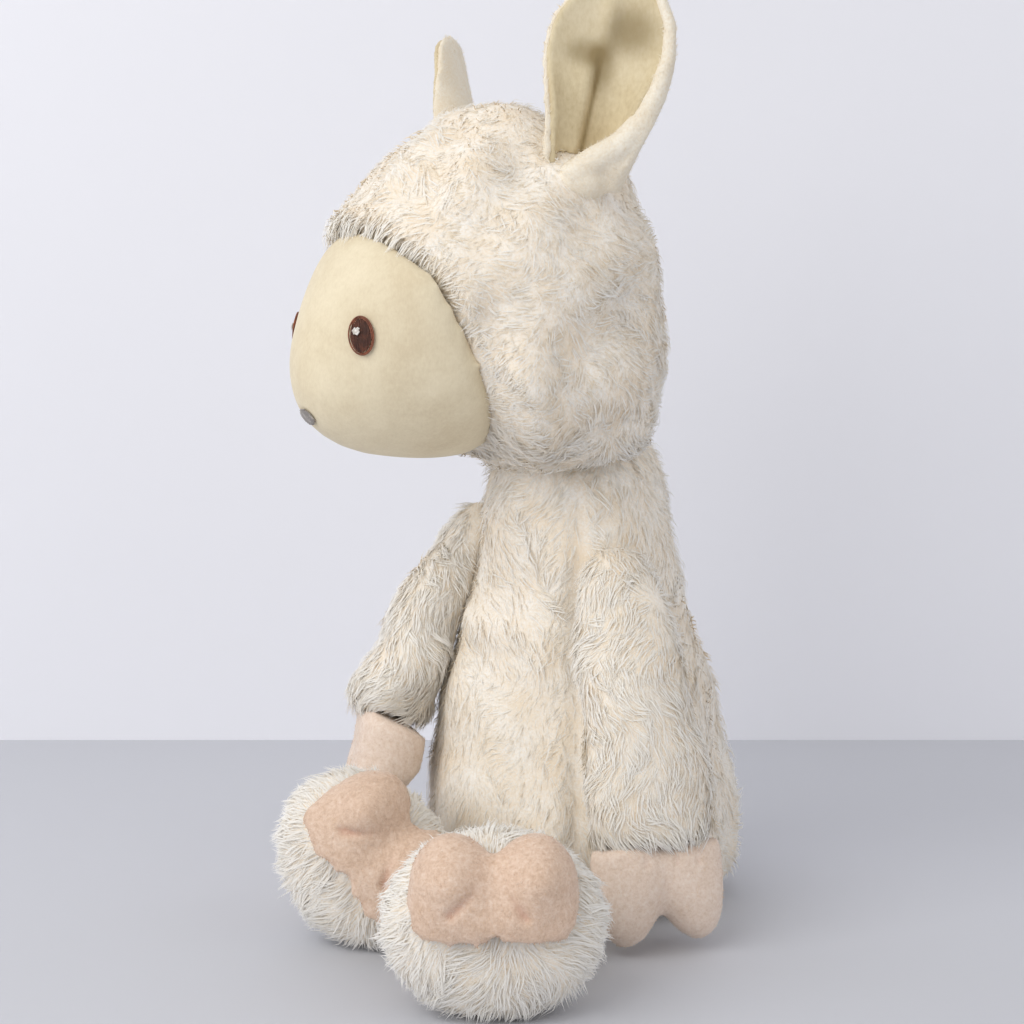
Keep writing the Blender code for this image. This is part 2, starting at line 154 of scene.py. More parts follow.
camera = bpy.data.objects.new("camera", bpy.data.cameras.new("camera"))
bpy.context.scene.collection.objects.link(camera)
camera.location = lying(CAMERA_SIDE, CAMERA_REACH, CAMERA_HEIGHT)
camera.rotation_euler = (math.radians(90) - CAMERA_DIP, 0, CAMERA_BEARING)
camera.data.lens = camera.data.sensor_width * CAMERA_REACH / PIXEL_AT_TOY / PICTURE_WIDTH
camera.data.clip_start = 0.05
bpy.context.scene.camera = camera


def softbox(name, place, width, power, colour):
    """A square lamp that looks at the middle of the toy."""
    lamp = bpy.data.objects.new(name, bpy.data.lights.new(name, "AREA"))
    bpy.context.scene.collection.objects.link(lamp)
    lamp.location = place
    lamp.rotation_euler = (LIT_PLACE - place).to_track_quat("-Z", "Y").to_euler()
    lamp.data.size = width
    lamp.data.energy = power
    lamp.data.color = colour


softbox("window", lying(-1.15, 1.25, 1.2), width=1.7, power=21.5, colour=(1.0, 0.99, 0.97))
softbox("room", lying(1.4, 1.1, 1.0), width=1.6, power=4, colour=(0.95, 0.97, 1.0))
world = bpy.data.worlds.new("pale_room")
bpy.context.scene.world = world
world.use_nodes = True
world.node_tree.nodes["Background"].inputs["Color"].default_value = linear(ROOM_COLOUR)
world.node_tree.nodes["Background"].inputs["Strength"].default_value = ROOM_LIGHT
bpy.context.scene.view_settings.view_transform = "Standard"


# The torso
# A pear of long-pile cream cloth, filled firmly with fibre and flat where it sits. It is cut in panels,
# so a seam runs down each side of the belly, and the pile lies in swirls that change from panel to panel.
TORSO_PILE = 0.0115
TORSO_UNDERCOAT = 0.0068
PILE_DEPTH = 0.0018
# The root's tan is painted shade, for the warm shade deep in the pile.
PILE_ROOT = (240, 224, 200)
PILE_MIDDLE = (253, 250, 244)
PILE_TIP = (255, 254, 252)
# Painted shade: a tan for the shaded hollows between locks and for a few dark strands that stand for slits of
# shade.
PAINTED_HOLLOW_SHADE = (246, 235, 216)
COMMON_TINT = (254, 253, 250)
# Painted light: a warm pale colour on the tufts' undersides, which stands in for light scattered through the
# pile into their shade.
PAINTED_UNDERSIDE_LIGHT = (255, 246, 230)
ABOVE_TABLE = 0.0003
SOFTNESS = 0.9
FILLING_MOMENTS = 20


def copy_solid(solid, name):
    """A new piece with a copy of a solid's mesh, its loose triangles merged."""
    piece = bpy.data.objects.new(name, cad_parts[solid].data.copy())
    bpy.context.scene.collection.objects.link(piece)
    piece.data.materials.clear()
    only(piece)
    bpy.ops.object.mode_set(mode="EDIT")
    bpy.ops.mesh.select_all(action="SELECT")
    bpy.ops.mesh.remove_doubles(threshold=0.00002)
    bpy.ops.object.mode_set(mode="OBJECT")
    return piece


def shape_by(piece, kind, **settings):
    """Adds a modifier and applies it."""
    only(piece)
    modifier = piece.modifiers.new(kind.lower(), kind)
    for key, value in settings.items():
        setattr(modifier, key, value)
    bpy.ops.object.modifier_apply(modifier=modifier.name)


def vectors_of(values, kind):
    found = np.empty(len(values) * 3, np.float32)
    values.foreach_get(kind, found)
    return found.reshape(-1, 3).astype(np.float64)


def points_of(piece):
    return vectors_of(piece.data.vertices, "co")


def normals_of(piece):
    return vectors_of(piece.data.vertex_normals, "vector")


def set_points(piece, points):
    piece.data.vertices.foreach_set("co", points.astype(np.float32).ravel())
    piece.data.update()


def blow_up(piece, most, pressure=4.0):
    """Fills a cover under pressure with no gravity, and lets no point move further than `most`."""
    start = points_of(piece)
    only(piece)
    cloth = piece.modifiers.new("filling", "CLOTH")
    cloth.settings.use_pressure = True
    cloth.settings.uniform_pressure_force = pressure
    cloth.settings.effector_weights.gravity = 0
    cloth.point_cache.frame_start = 1
    cloth.point_cache.frame_end = FILLING_MOMENTS
    for moment in range(1, FILLING_MOMENTS + 1):
        bpy.context.scene.frame_set(moment)
    bpy.ops.object.modifier_apply(modifier=cloth.name)
    bpy.context.scene.frame_set(1)
    moved = points_of(piece) - start
    far = np.linalg.norm(moved, axis=1, keepdims=True)
    set_points(piece, start + moved * np.minimum(1, most / np.maximum(far, 1e-9)))


def stuffed(solid, name, voxel=0.005, inset=PILE_DEPTH, bulge=0.002, flats=(), rounds=1):
    """A cover filled with fibre: a solid drawn in by its pile, remeshed, blown up and smoothed.

    A flat is a point and a normal of a plane where the piece is sewn or sits, so it isn't drawn in there."""
    piece = copy_solid(solid, name)
    shape_by(piece, "REMESH", mode="VOXEL", voxel_size=voxel)
    points, normals = points_of(piece), normals_of(piece)
    inwards = -normals * (inset + bulge)
    for middle, normal in flats:
        normal = np.array(normal)
        near = np.abs((points - np.array(middle)) @ normal) < voxel * 0.8
        inwards[near] -= (inwards[near] @ normal)[:, None] * normal
    set_points(piece, points + inwards)
    blow_up(piece, bulge * 1.5)
    shape_by(piece, "SMOOTH", factor=0.5, iterations=3)
    shape_by(piece, "SUBSURF", levels=rounds, render_levels=rounds)
    points = points_of(piece)
    points[:, 2] = np.maximum(points[:, 2], 0)
    set_points(piece, points)
    piece.data.shade_smooth()
    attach(piece, "root")
    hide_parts(solid)
    return piece


def unit(vectors):
    return vectors / np.maximum(np.linalg.norm(vectors, axis=-1, keepdims=True), 1e-12)


def waves(points, length, seed, count=7):
    """A smooth random number for each point, about -1 to 1, that changes over `length`."""
    random = np.random.default_rng(seed)
    ways = unit(random.normal(size=(count, 3))) * (2 * math.pi / length)
    ways = ways * random.uniform(0.6, 1.4, (count, 1))
    starts = random.uniform(0, 2 * math.pi, count)
    return np.sin(points @ ways.T + starts).sum(axis=1) / math.sqrt(count / 2) * 0.7


def lumpy(piece, height, length, seed, still=lambda points: 0.0):
    """Uneven filling: swells and dents a cover by up to about `height`, except where `still` is 1."""
    points = points_of(piece)
    move = height * waves(points, length, seed) * (1 - still(points))
    set_points(piece, points + normals_of(piece) * move[:, None])


INSIDE_DEPTH = 0.006


def outside(points, solids, margin):
    """True for each point at least `margin` outside all of these solids, or deep behind their edges."""
    clear = np.ones(len(points), bool)
    for solid in solids:
        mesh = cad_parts[solid].data
        tree = BVHTree.FromPolygons([v.co for v in mesh.vertices], [p.vertices for p in mesh.polygons])
        for index, point in enumerate(points):
            if clear[index]:
                place, normal, _, far = tree.find_nearest(Vector(point))
                inward = (Vector(point) - place).dot(normal) < 0 and far < INSIDE_DEPTH
                clear[index] = not inward and far > margin
    return clear


def maths(tree, operation, *values):
    """A sum or product of values and other nodes' outputs."""
    made = node(tree, "ShaderNodeMath", operation=operation)
    for socket, value in zip(made.inputs, values):
        feed(tree, socket, value)
    return made.outputs[0]


def colours_along(tree, share, *stops):
    """A colour for each share from 0 to 1, by stops of a share and a colour as it is seen."""
    made = node(tree, "ShaderNodeValToRGB")
    elements = made.color_ramp.elements
    for index, (place, colour) in ((0, stops[0]), (1, stops[-1])):
        elements[index].position, elements[index].color = place, linear(colour)
    for place, colour in stops[1:-1]:
        elements.new(place).color = linear(colour)
    feed(tree, made.inputs["Fac"], share)
    return made.outputs["Color"]


def bumped(tree, shader, height, strength, depth):
    made = node(tree, "ShaderNodeBump", Strength=strength, Distance=depth)
    feed(tree, made.inputs["Height"], height)
    feed(tree, shader.inputs["Normal"], made.outputs[0])


def pile_material(name, root, halfway, tip):
    """Pile: tan at the root as painted shade deep in the pile, cream along it and palest at the tip, streaked
    by its strands.

    The tufts' own map carries all of it: across a tuft and its tint along U, from root to tip along V."""
    made, tree, shader = finish_of(name, Roughness=0.75, Specular_IOR_Level=0.25)
    own = node(tree, "ShaderNodeUVMap", uv_map="OFBake").outputs[0]
    parts = node(tree, "ShaderNodeSeparateXYZ")
    feed(tree, parts.inputs[0], own)
    along = colours_along(tree, parts.outputs["Y"], (0.0, root), (0.38, halfway), (0.9, tip))
    # The lowest tints are painted light and shade: warm light on the undersides, then the tan of painted shade
    # in hollows and slits.
    tints = (0.02, PAINTED_UNDERSIDE_LIGHT), (0.05, PAINTED_HOLLOW_SHADE), (0.5, COMMON_TINT), (1.0, (255, 255, 255))
    tint = colours_along(tree, parts.outputs["X"], *tints)
    stretch = node(tree, "ShaderNodeMapping", Scale=(620, 2.2, 1))
    feed(tree, stretch.inputs["Vector"], own)
    streak = node(tree, "ShaderNodeMapRange", From_Min=0.3, From_Max=0.6, To_Min=0.92, To_Max=1.0)
    feed(tree, streak.inputs["Value"], speckle(tree, scale=1.0, detail=2.0, place=stretch.outputs[0]))
    coloured = blended(tree, share=1.0, one=along, two=tint, blend_type="MULTIPLY")
    streaked = blended(tree, share=1.0, one=coloured, two=streak.outputs[0], blend_type="MULTIPLY")
    feed(tree, shader.inputs["Base Color"], streaked)
    return made


def backing_material(name, dark, light):
    """The cloth that the pile grows from: its root colour in broken streaks, rough as felt."""
    made, tree, shader = finish_of(name, Roughness=0.95, Specular_IOR_Level=0.1)
    knots = speckle(tree, scale=900.0, detail=3.0)
    both = maths(tree, "MULTIPLY", knots, speckle(tree, scale=60.0, detail=2.0))
    feed(tree, shader.inputs["Base Color"], colours_along(tree, both, (0.12, dark), (0.38, light)))
    bumped(tree, shader, knots, strength=0.35, depth=0.0005)
    return made


long_pile = pile_material("long_pile", PILE_ROOT, PILE_MIDDLE, PILE_TIP)
pile_backing = backing_material("pile_backing", dark=(243, 229, 208), light=(253, 249, 242))


def roots_on(skin, count, density, random):
    """Even places for tufts on a cover, with the cover's normals there."""
    skin.data.calc_loop_triangles()
    corners = np.empty(len(skin.data.loop_triangles) * 3, np.int32)
    skin.data.loop_triangles.foreach_get("vertices", corners)
    corners = corners.reshape(-1, 3)
    points, normals = points_of(skin), normals_of(skin)
    a, b, c = (points[corners[:, i]] for i in range(3))
    areas = np.linalg.norm(np.cross(b - a, c - a), axis=1) / 2
    wanted = areas * density((a + b + c) / 3, unit(np.cross(b - a, c - a)))
    total = np.cumsum(wanted)
    chosen = np.searchsorted(total, (np.arange(count) + random.random(count)) / count * total[-1])
    chosen = np.minimum(chosen, len(corners) - 1)
    one, two = random.random((2, count, 1))
    flip = one + two > 1
    one, two = np.where(flip, 1 - one, one), np.where(flip, 1 - two, two)
    places = a[chosen] + one * (b - a)[chosen] + two * (c - a)[chosen]
    na, nb, nc = (normals[corners[chosen, i]] for i in range(3))
    return places, unit(na * (1 - one - two) + nb * one + nc * two)


def swept(ways, normals, angle):
    """Directions on a surface, turned about its normals by an angle for each."""
    sides = np.cross(normals, ways)
    return ways * np.cos(angle)[:, None] + sides * np.sin(angle)[:, None]


def along_surface(ways, normals):
    """The part of each direction that lies in the surface, at unit length."""
    return unit(ways - (ways * normals).sum(1, keepdims=True) * normals)


def tufts(name, rings, tips, sides, ups, normals, wide, shade, heights, pile):
    """Closed tufts as one mesh: rings of three points from the root, a tip, and normals like the cover's."""
    count, turns = len(tips), len(rings)
    points = np.empty((count, turns * 3 + 1, 3))
    for ring, (centre, up) in enumerate(zip(rings, ups)):
        narrower = wide * (1 - 0.15 * ring)
        points[:, ring * 3] = centre + sides * narrower
        points[:, ring * 3 + 1] = centre + up * narrower * 0.6
        points[:, ring * 3 + 2] = centre - sides * narrower
    points[:, -1] = tips
    faces = [(0, 2, 1)]
    under = [True]
    for ring in range(turns):
        low, tip = ring * 3, ring == turns - 1
        for a, b, hidden in ((0, 1, False), (1, 2, False), (2, 0, True)):
            faces.append((low + a, low + b, low + 3) if tip else (low + a, low + b, low + 3 + b, low + 3 + a))
            under.append(hidden)
    corners = np.concatenate(faces)
    sizes = np.array([len(face) for face in faces])
    loops = (corners[None] + np.arange(count)[:, None] * (turns * 3 + 1)).ravel()
    totals = np.tile(sizes, count)
    points[:, :, 2] = np.maximum(points[:, :, 2], ABOVE_TABLE)
    mesh = bpy.data.meshes.new(name)
    mesh.vertices.add(points.size // 3)
    mesh.vertices.foreach_set("co", points.astype(np.float32).ravel())
    mesh.loops.add(len(loops))
    mesh.loops.foreach_set("vertex_index", loops.astype(np.int32))
    mesh.polygons.add(len(totals))
    mesh.polygons.foreach_set("loop_start", np.concatenate([[0], np.cumsum(totals)[:-1]]).astype(np.int32))
    mesh.update(calc_edges=True)

    across = np.tile([-0.006, 0.0, 0.006], turns + 1)[: turns * 3 + 1]
    across[-1] = 0.0
    height = np.append(np.repeat(heights, 3), 1.0)
    place = np.stack([shade[:, None] + across, np.tile(height, (count, 1))], axis=2)
    place = place.reshape(-1, 2)[loops].reshape(count, len(corners), 2)
    hidden = np.repeat(under, sizes)
    # Painted light: the undersides take the lowest tint, the warm colour that stands in for light scattered
    # into their shade.
    place[:, hidden, 0] -= shade[:, None] - 0.012
    own = mesh.uv_layers.new(name="OFBake")
    own.data.foreach_set("uv", place.astype(np.float32).ravel())

    mesh.shade_smooth()
    outer = np.repeat(normals[:, None], len(corners), axis=1)
    leaning = np.zeros_like(outer)
    leaning[:, corners % 3 == 0] = sides[:, None]
    leaning[:, corners % 3 == 2] = -sides[:, None]
    leaning[:, corners == turns * 3] = 0
    soft = unit(outer * SOFTNESS + leaning * (1 - SOFTNESS))
    soft[:, hidden] = -ups[-1][:, None]
    mesh.normals_split_custom_set(soft.reshape(-1, 3).tolist())
    mesh.materials.append(pile)
    coat = bpy.data.objects.new(name, mesh)
    bpy.context.scene.collection.objects.link(coat)
    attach(coat, "root")
    return coat


def choose_roots(skin, count, density, avoid, comb, random):
    density = density or (lambda middles, normals: np.ones(len(middles)))
    roots, normals = roots_on(skin, count, density, random)
    if avoid:
        kept = outside(roots, avoid, margin=0.0004)
        roots, normals = roots[kept], normals[kept]
    return roots, normals, along_surface(comb(roots, normals), normals)


def plant_undercoat(
    name, skin, count, length, comb, seed, density=None, avoid=(), tint=0.5, wide=0.0003, lift=9, mess=0.5,
    hollows=0.1, pile=long_pile,
):
    """The short hairs of a pile: straight spikes that lie half sunk in it, so that they streak it."""
    random = np.random.default_rng(seed)
    roots, normals, ways = choose_roots(skin, count, density, avoid, comb, random)
    count = len(roots)
    turn = mess * (0.8 * waves(roots, length=0.011, seed=seed + 1) + 0.35 * random.normal(size=count))
    ways = swept(ways, normals, turn)
    sides = np.cross(normals, ways)
    rise = np.radians(lift + 4 * random.normal(size=count))[:, None]
    along = normals * np.sin(rise) + ways * np.cos(rise)
    starts = roots - normals * 0.0005
    length = length(roots) if callable(length) else length
    tips = starts + along * (length * random.uniform(0.7, 1.15, count))[:, None]
    width = wide * random.uniform(0.8, 1.3, (count, 1))
    # A few strands in a hundred take the tan of painted shade, for slits of shade in the pile.
    shade = tint + 0.15 * random.normal(size=count) - 0.5 * (random.random(count) < 0.06)
    # Hollows paints tan shade in smooth random waves, for the shade in hollows between locks.
    shade = np.clip(shade + hollows * waves(roots, length=0.014, seed=seed + 3), 0.06, 0.98)
    ups = [np.cross(along, sides)]
    return tufts(name, [starts], tips, sides, ups, normals, width, shade, [0.15], pile)


def plant_locks(
    name, skin, count, length, comb, seed, density=None, avoid=(), tint=0.62, wide=0.00032, lift=(27, 7),
    mess=0.5, gather=0.4, clump=7, pile=long_pile,
):
    """The long hairs of a pile: bent tufts that stand off it and gather at their tips in small locks."""
    random = np.random.default_rng(seed)
    roots, normals, ways = choose_roots(skin, count, density, avoid, comb, random)
    count = len(roots)
    leaders = random.choice(count, count // clump, replace=False)
    tree = KDTree(len(leaders))
    for index, leader in enumerate(leaders):
        tree.insert(roots[leader], index)
    tree.balance()
    lock = np.array([tree.find(root)[1] for root in roots])
    turn = mess * (0.6 * random.normal(size=len(leaders))[lock] + 0.25 * random.normal(size=count))
    ways = swept(ways, normals, turn)
    sides = np.cross(normals, ways)
    length = length(roots) if callable(length) else length
    reach = length * random.uniform(0.72, 1.12, count) * random.uniform(0.85, 1.12, len(leaders))[lock]
    steep = np.radians(lift[0] + 7 * random.normal(size=count) + 7 * random.normal(size=len(leaders))[lock])
    flat = np.radians(lift[1] + 6 * random.normal(size=count) + 6 * random.normal(size=len(leaders))[lock])
    first = normals * np.sin(steep)[:, None] + ways * np.cos(steep)[:, None]
    second = normals * np.sin(flat)[:, None] + ways * np.cos(flat)[:, None]
    starts = roots - normals * 0.0006
    bends = starts + first * (reach * 0.42)[:, None]
    tips = bends + second * (reach * 0.58)[:, None]
    pull = (tips[leaders[lock]] - tips) * gather
    pull *= np.minimum(1, 0.4 * reach / np.maximum(np.linalg.norm(pull, axis=1), 1e-9))[:, None]
    tips, bends = tips + pull, bends + pull * 0.25
    width = wide * random.uniform(0.75, 1.3, (count, 1))
    shade = tint + 0.15 * random.normal(size=count) + 0.08 * random.normal(size=len(leaders))[lock]
    shade = np.clip(shade, 0.06, 0.98)
    ups = [np.cross(first, sides), np.cross(second, sides)]
    return tufts(name, [starts, bends], tips, sides, ups, normals, width, shade, [0.05, 0.45], pile)


def nearness(points, line, width):
    """How near each point is to a line of places, from 1 on it to 0 well away from it."""
    nearest = np.full(len(points), 1e9)
    for start, end in zip(np.array(line[:-1]), np.array(line[1:])):
        way = end - start
        share = np.clip(((points - start) @ way) / (way @ way), 0, 1)
        nearest = np.minimum(nearest, np.linalg.norm(points - start - share[:, None] * way, axis=1))
    return np.exp(-((nearest / width) ** 2))


DOWN = np.array([0.0, 0.0, -1.0])
BELLY_SEAM = math.radians(36.6)
BELLY_TOP = 0.125
SEAM_WIDTH, SEAM_SUNK = 0.0050, 0.0026
NECK_START, NECK_RUN, NECK_INTO_HEAD = 0.180, 0.026, 0.010
FOLD_WIDTH, FOLD_DEPTH, FOLD_LIP = 0.0035, 0.0060, 0.0025
WAIST_FOLD = (
    (-0.0575, 0.014, 0.1400), (-0.0520, 0.028, 0.1385), (-0.0442, 0.040, 0.1375), (-0.0350, 0.048, 0.1380),
)


def beside_seam(points):
    """How far round each point lies from the nearer belly seam, positive to the back, and on which side."""
    bearing = np.arctan2(points[:, 0], -points[:, 1])
    return (np.abs(bearing) - BELLY_SEAM) * np.hypot(points[:, 0], points[:, 1]), np.sign(bearing)


def comb_torso(roots, normals):
    """Down the body in broad swirls, and away from the two belly seams."""
    ways = along_surface(np.tile(DOWN, (len(roots), 1)) - normals * 0.1, normals)
    away, side = beside_seam(roots)
    turn = 0.9 * waves(roots, length=0.085, seed=11) + 0.5 * waves(roots, length=0.03, seed=12)
    near = np.exp(-((away / 0.010) ** 2))
    turn = turn * (1 - 0.8 * near) + 0.75 * near * np.sign(away) * side
    return swept(ways, normals, turn)


torso = stuffed("torso", "torso_cover", voxel=0.006, flats=[((0, 0, 0), (0, 0, 1))])
lumpy(torso, height=0.0016, length=0.055, seed=13, still=lambda points: points[:, 2] < 0.012)
points = points_of(torso)
away, _ = beside_seam(points)
depth = SEAM_SUNK * np.exp(-((away / SEAM_WIDTH) ** 2)) * (points[:, 2] > 0.01)
points -= normals_of(torso) * depth[:, None]
waist_fold = [lying(*place) for place in WAIST_FOLD]
waist = nearness(points, waist_fold, FOLD_WIDTH) * FOLD_DEPTH
waist -= nearness(points + (0, 0, 0.008), waist_fold, 0.008) * FOLD_LIP
points -= normals_of(torso) * waist[:, None]
points[:, 2] += NECK_INTO_HEAD * np.clip((points[:, 2] - NECK_START) / NECK_RUN, 0, 1)
set_points(torso, points)
torso.data.materials.append(pile_backing)


def off_the_table(middles, normals):
    return (middles[:, 2] > 0.004) * 1.0


def chest_more_than_belly(middles, normals):
    """The belly's pile is pressed flat, so few locks stand there; the chest, neck and back have most."""
    away, _ = beside_seam(middles)
    belly = np.clip(-away / 0.008, 0, 1) * np.clip((BELLY_TOP - middles[:, 2]) / 0.015, 0, 1)
    fold = nearness(middles + (0, 0, -0.004), waist_fold, 0.007)
    return off_the_table(middles, normals) * (1 - 0.8 * belly) * (1 - fold)


def shorter_by_the_fold(roots):
    return TORSO_UNDERCOAT * (1 - 0.75 * nearness(roots, waist_fold, 0.007))


def bare_in_the_fold(middles, normals):
    return off_the_table(middles, normals) * (1 - nearness(middles, waist_fold, 0.0016))


beside = ["arm_left", "arm_right", "leg_left", "leg_right"]
plant_undercoat(
    "torso_undercoat", torso, count=35000, length=shorter_by_the_fold, comb=comb_torso, seed=101,
    avoid=beside, lift=8, density=bare_in_the_fold,
)
plant_locks(
    "torso_locks", torso, count=6300, length=TORSO_PILE, comb=comb_torso, seed=102, avoid=beside,
    density=chest_more_than_belly, lift=(20, 4),
)


# The head
# One ball of the same long-pile cloth, stuffed firmly and sewn down on the neck. It is cut off flat in front,
# where the face is sewn in, and its pile stands forward over that seam all round.
HEAD_CENTRE = np.array([-0.0137, -0.0446, 0.262])
HEAD_TURN = math.radians(-20)
HEAD_PILE = 0.0085
HEAD_UNDERCOAT = 0.0062
HEAD_BOTTOM = 0.202
SEAM_TILT = math.radians(30.5)
SEAM_AHEAD = 0.0396
SEAM_DROP = 0.0045
CHEEK_BEARING, CHEEK_SPAN = 34, 22
BROW_BEARING, BROW_SPAN = 105, 38
EAR_PLACE = {"left": (0.049, 0.022, 0.058), "right": (-0.049, 0.022, 0.058)}


def head_turned(vector):
    """A direction of the head as sewn, turned with it."""
    x, y, z = vector
    c, s = math.cos(HEAD_TURN), math.sin(HEAD_TURN)
    return np.array([x * c - y * s, x * s + y * c, z])


seam_middle = HEAD_CENTRE + head_turned((0, -SEAM_AHEAD, -SEAM_DROP))
seam_normal = head_turned((0, -math.cos(SEAM_TILT), -math.sin(SEAM_TILT)))
seam_side = head_turned((1, 0, 0))
seam_up = np.cross(seam_normal, seam_side)


def round_the_seam(points):
    """Each point's bearing round the face seam in degrees, how far out it is and how far ahead."""
    offsets = points - seam_middle
    aside, raised = offsets @ seam_side, offsets @ seam_up
    return np.degrees(np.arctan2(raised, aside)), np.hypot(aside, raised), offsets @ seam_normal


def fuller_seam(points, cheek, brow):
    """Spreads the seam outwards over the left cheek, and lifts the forehead's edge forwards."""
    bearing, out, ahead = round_the_seam(points)
    rim = np.clip(out / 0.055, 0, 1) ** 2 * np.exp(-((ahead / 0.020) ** 2))
    spread = cheek * rim * np.exp(-(((bearing - CHEEK_BEARING) / CHEEK_SPAN) ** 2))
    lifted = brow * rim * np.exp(-(((bearing - BROW_BEARING) / BROW_SPAN) ** 2))
    radial = unit(points - seam_middle - ahead[:, None] * seam_normal)
    return points + radial * (spread + 0.8 * lifted)[:, None] + seam_normal * (0.6 * lifted)[:, None]


def comb_head(roots, normals):
    """Forward over the forehead, back and down elsewhere in messy swirls, and over the seam by the face."""
    ahead = (roots - seam_middle) @ seam_normal
    brow = np.clip((roots[:, 2] - HEAD_CENTRE[2] - 0.010) / 0.030, 0, 1)
    brow = brow * np.clip((ahead + 0.050) / 0.025, 0, 1)
    away = DOWN + 0.35 * head_turned((0, 1, 0))
    flow = along_surface(away * (1 - brow[:, None]) + head_turned((0, -1, 0)) * brow[:, None], normals)
    turn = waves(roots, length=0.06, seed=21) + 0.6 * waves(roots, length=0.022, seed=22)
    flow = swept(flow, normals, turn)
    inward = seam_middle - roots
    inward = inward - (inward @ seam_normal)[:, None] * seam_normal
    over = along_surface(unit(inward) * 0.25 + seam_normal, normals)
    near = np.exp(-((np.minimum(ahead, 0) / 0.009) ** 2))[:, None]
    return flow * (1 - near) + over * near


head = stuffed("head", "head_cover", voxel=0.006, inset=0.0012, flats=[(seam_middle, seam_normal)])
lumpy(
    head, height=0.0026, length=0.042, seed=23,
    still=lambda points: np.abs((points - seam_middle) @ seam_normal) < 0.003,
)
points = points_of(head)
roll = np.exp(-(((points[:, 2] - HEAD_BOTTOM - 0.012) / 0.012) ** 2))
roll *= (points - seam_middle) @ seam_normal < -0.004
spread = unit((points - HEAD_CENTRE) * (1, 1, 0))
points += spread * (0.0022 * roll)[:, None]
points[:, 2] -= 0.0030 * np.clip((HEAD_BOTTOM + 0.015 - points[:, 2]) / 0.012, 0, 1)
points = fuller_seam(points, cheek=0.0060, brow=0.0055)
set_points(head, points)
head.data.materials.append(pile_backing)
beside = ["face", "ear_back_left", "ear_back_right"]


def away_from_ears(middles, normals):
    """Few long hairs near the ears' roots, and most on the cheeks and the nape."""
    clear = np.ones(len(middles))
    for side, place in EAR_PLACE.items():
        far = np.linalg.norm(middles - HEAD_CENTRE - head_turned(place), axis=1)
        clear *= 1 - 0.9 * np.exp(-((far / 0.017) ** 2))
    return clear * (0.55 + 0.45 * (middles[:, 2] < HEAD_CENTRE[2] + 0.030))


def short_near_ears(roots):
    near = [np.linalg.norm(roots - HEAD_CENTRE - head_turned(place), axis=1) for place in EAR_PLACE.values()]
    return HEAD_UNDERCOAT * (1 - 0.55 * np.exp(-((np.min(near, axis=0) / 0.018) ** 2)))


plant_undercoat(
    "head_undercoat", head, count=32000, length=short_near_ears, comb=comb_head, seed=201, avoid=beside,
    mess=0.9, lift=13, tint=0.36, hollows=0.2,
)
plant_locks(
    "head_locks", head, count=8000, length=HEAD_PILE, comb=comb_head, seed=202, avoid=beside, mess=0.9,
    lift=(32, 7), gather=0.45, clump=12, tint=0.5, density=away_from_ears,
)


def by_the_face(middles, normals):
    """Most on the rim of the seam, and more on the forehead than below the cheeks."""
    ahead = (middles - seam_middle) @ seam_normal
    return np.exp(-((ahead / 0.005) ** 2)) * (0.6 + 1.4 * (middles[:, 2] > HEAD_CENTRE[2] + 0.02))


def fringe_length(roots):
    """Long on the forehead, short beside the cheeks."""
    return 0.0050 + 0.0120 * np.clip((roots[:, 2] - HEAD_CENTRE[2] - 0.022) / 0.026, 0, 1)


plant_locks(
    "face_fringe", head, count=4400, length=fringe_length, comb=comb_head, seed=203, lift=(22, -8),
    mess=0.35, tint=0.6, density=by_the_face,
)


def over_the_neck(middles, normals):
    """On the lower edge of the head alone."""
    return np.exp(-(((middles[:, 2] - HEAD_BOTTOM - 0.008) / 0.006) ** 2))


plant_locks(
    "neck_ruff", head, count=2000, length=0.0105, comb=comb_head, seed=204, avoid=["face"], lift=(24, -12),
    mess=0.5, density=over_the_neck,
)


# The arms
# Long flat bags of the same cloth, lightly filled, sewn on at the shoulders. Each one's pile starts in a
# whorl at the shoulder, runs down and hangs as a fringe over the hand.
ARM_PILE, ARM_UNDERCOAT, ARM_FRINGE = 0.0105, 0.0075, 0.0140
WHORL = {"left": (0.0712, -0.0297, 0.1500), "right": (-0.060, -0.045, 0.150)}
SHOULDER_RISE = {"left": 0.004, "right": 0.015}
SHOULDER_INWARD = {"left": 0.006, "right": 0.011}
HEM_RISE = {"left": 0.0, "right": 0.011}
END_SLOPE = -0.45


def arm_comb(name, whorl):
    middles = points_of(bpy.data.objects[name])
    heights = middles[:, 2]
    high, low = heights > np.quantile(heights, 0.85), heights < np.quantile(heights, 0.15)
    axis = unit(middles[low].mean(0) - middles[high].mean(0))

    def comb(roots, normals):
        """Out from the whorl, then along the arm."""
        ways = along_surface(np.tile(axis, (len(roots), 1)), normals)
        turn = 0.45 * waves(roots, length=0.05, seed=31) + 0.3 * waves(roots, length=0.02, seed=32)
        ways = swept(ways, normals, turn)
        out = roots - np.array(whorl)
        near = np.exp(-((np.linalg.norm(out, axis=1) / 0.020) ** 2))[:, None]
        return along_surface(out, normals) * near + ways * (1 - near)

    return comb


def not_below(middles, normals):
    """Everywhere but on the arm's cut-off end, which the hand fills."""
    return (normals[:, 2] > END_SLOPE) * 1.0


def outer_share(points, cover):
    """How near each point is to a cover's outer side: 0 next to the body and 1 away from it."""
    aside = cover @ np.array(across_view)
    return np.clip((aside.max() - points @ np.array(across_view)) / np.ptp(aside), 0, 1)


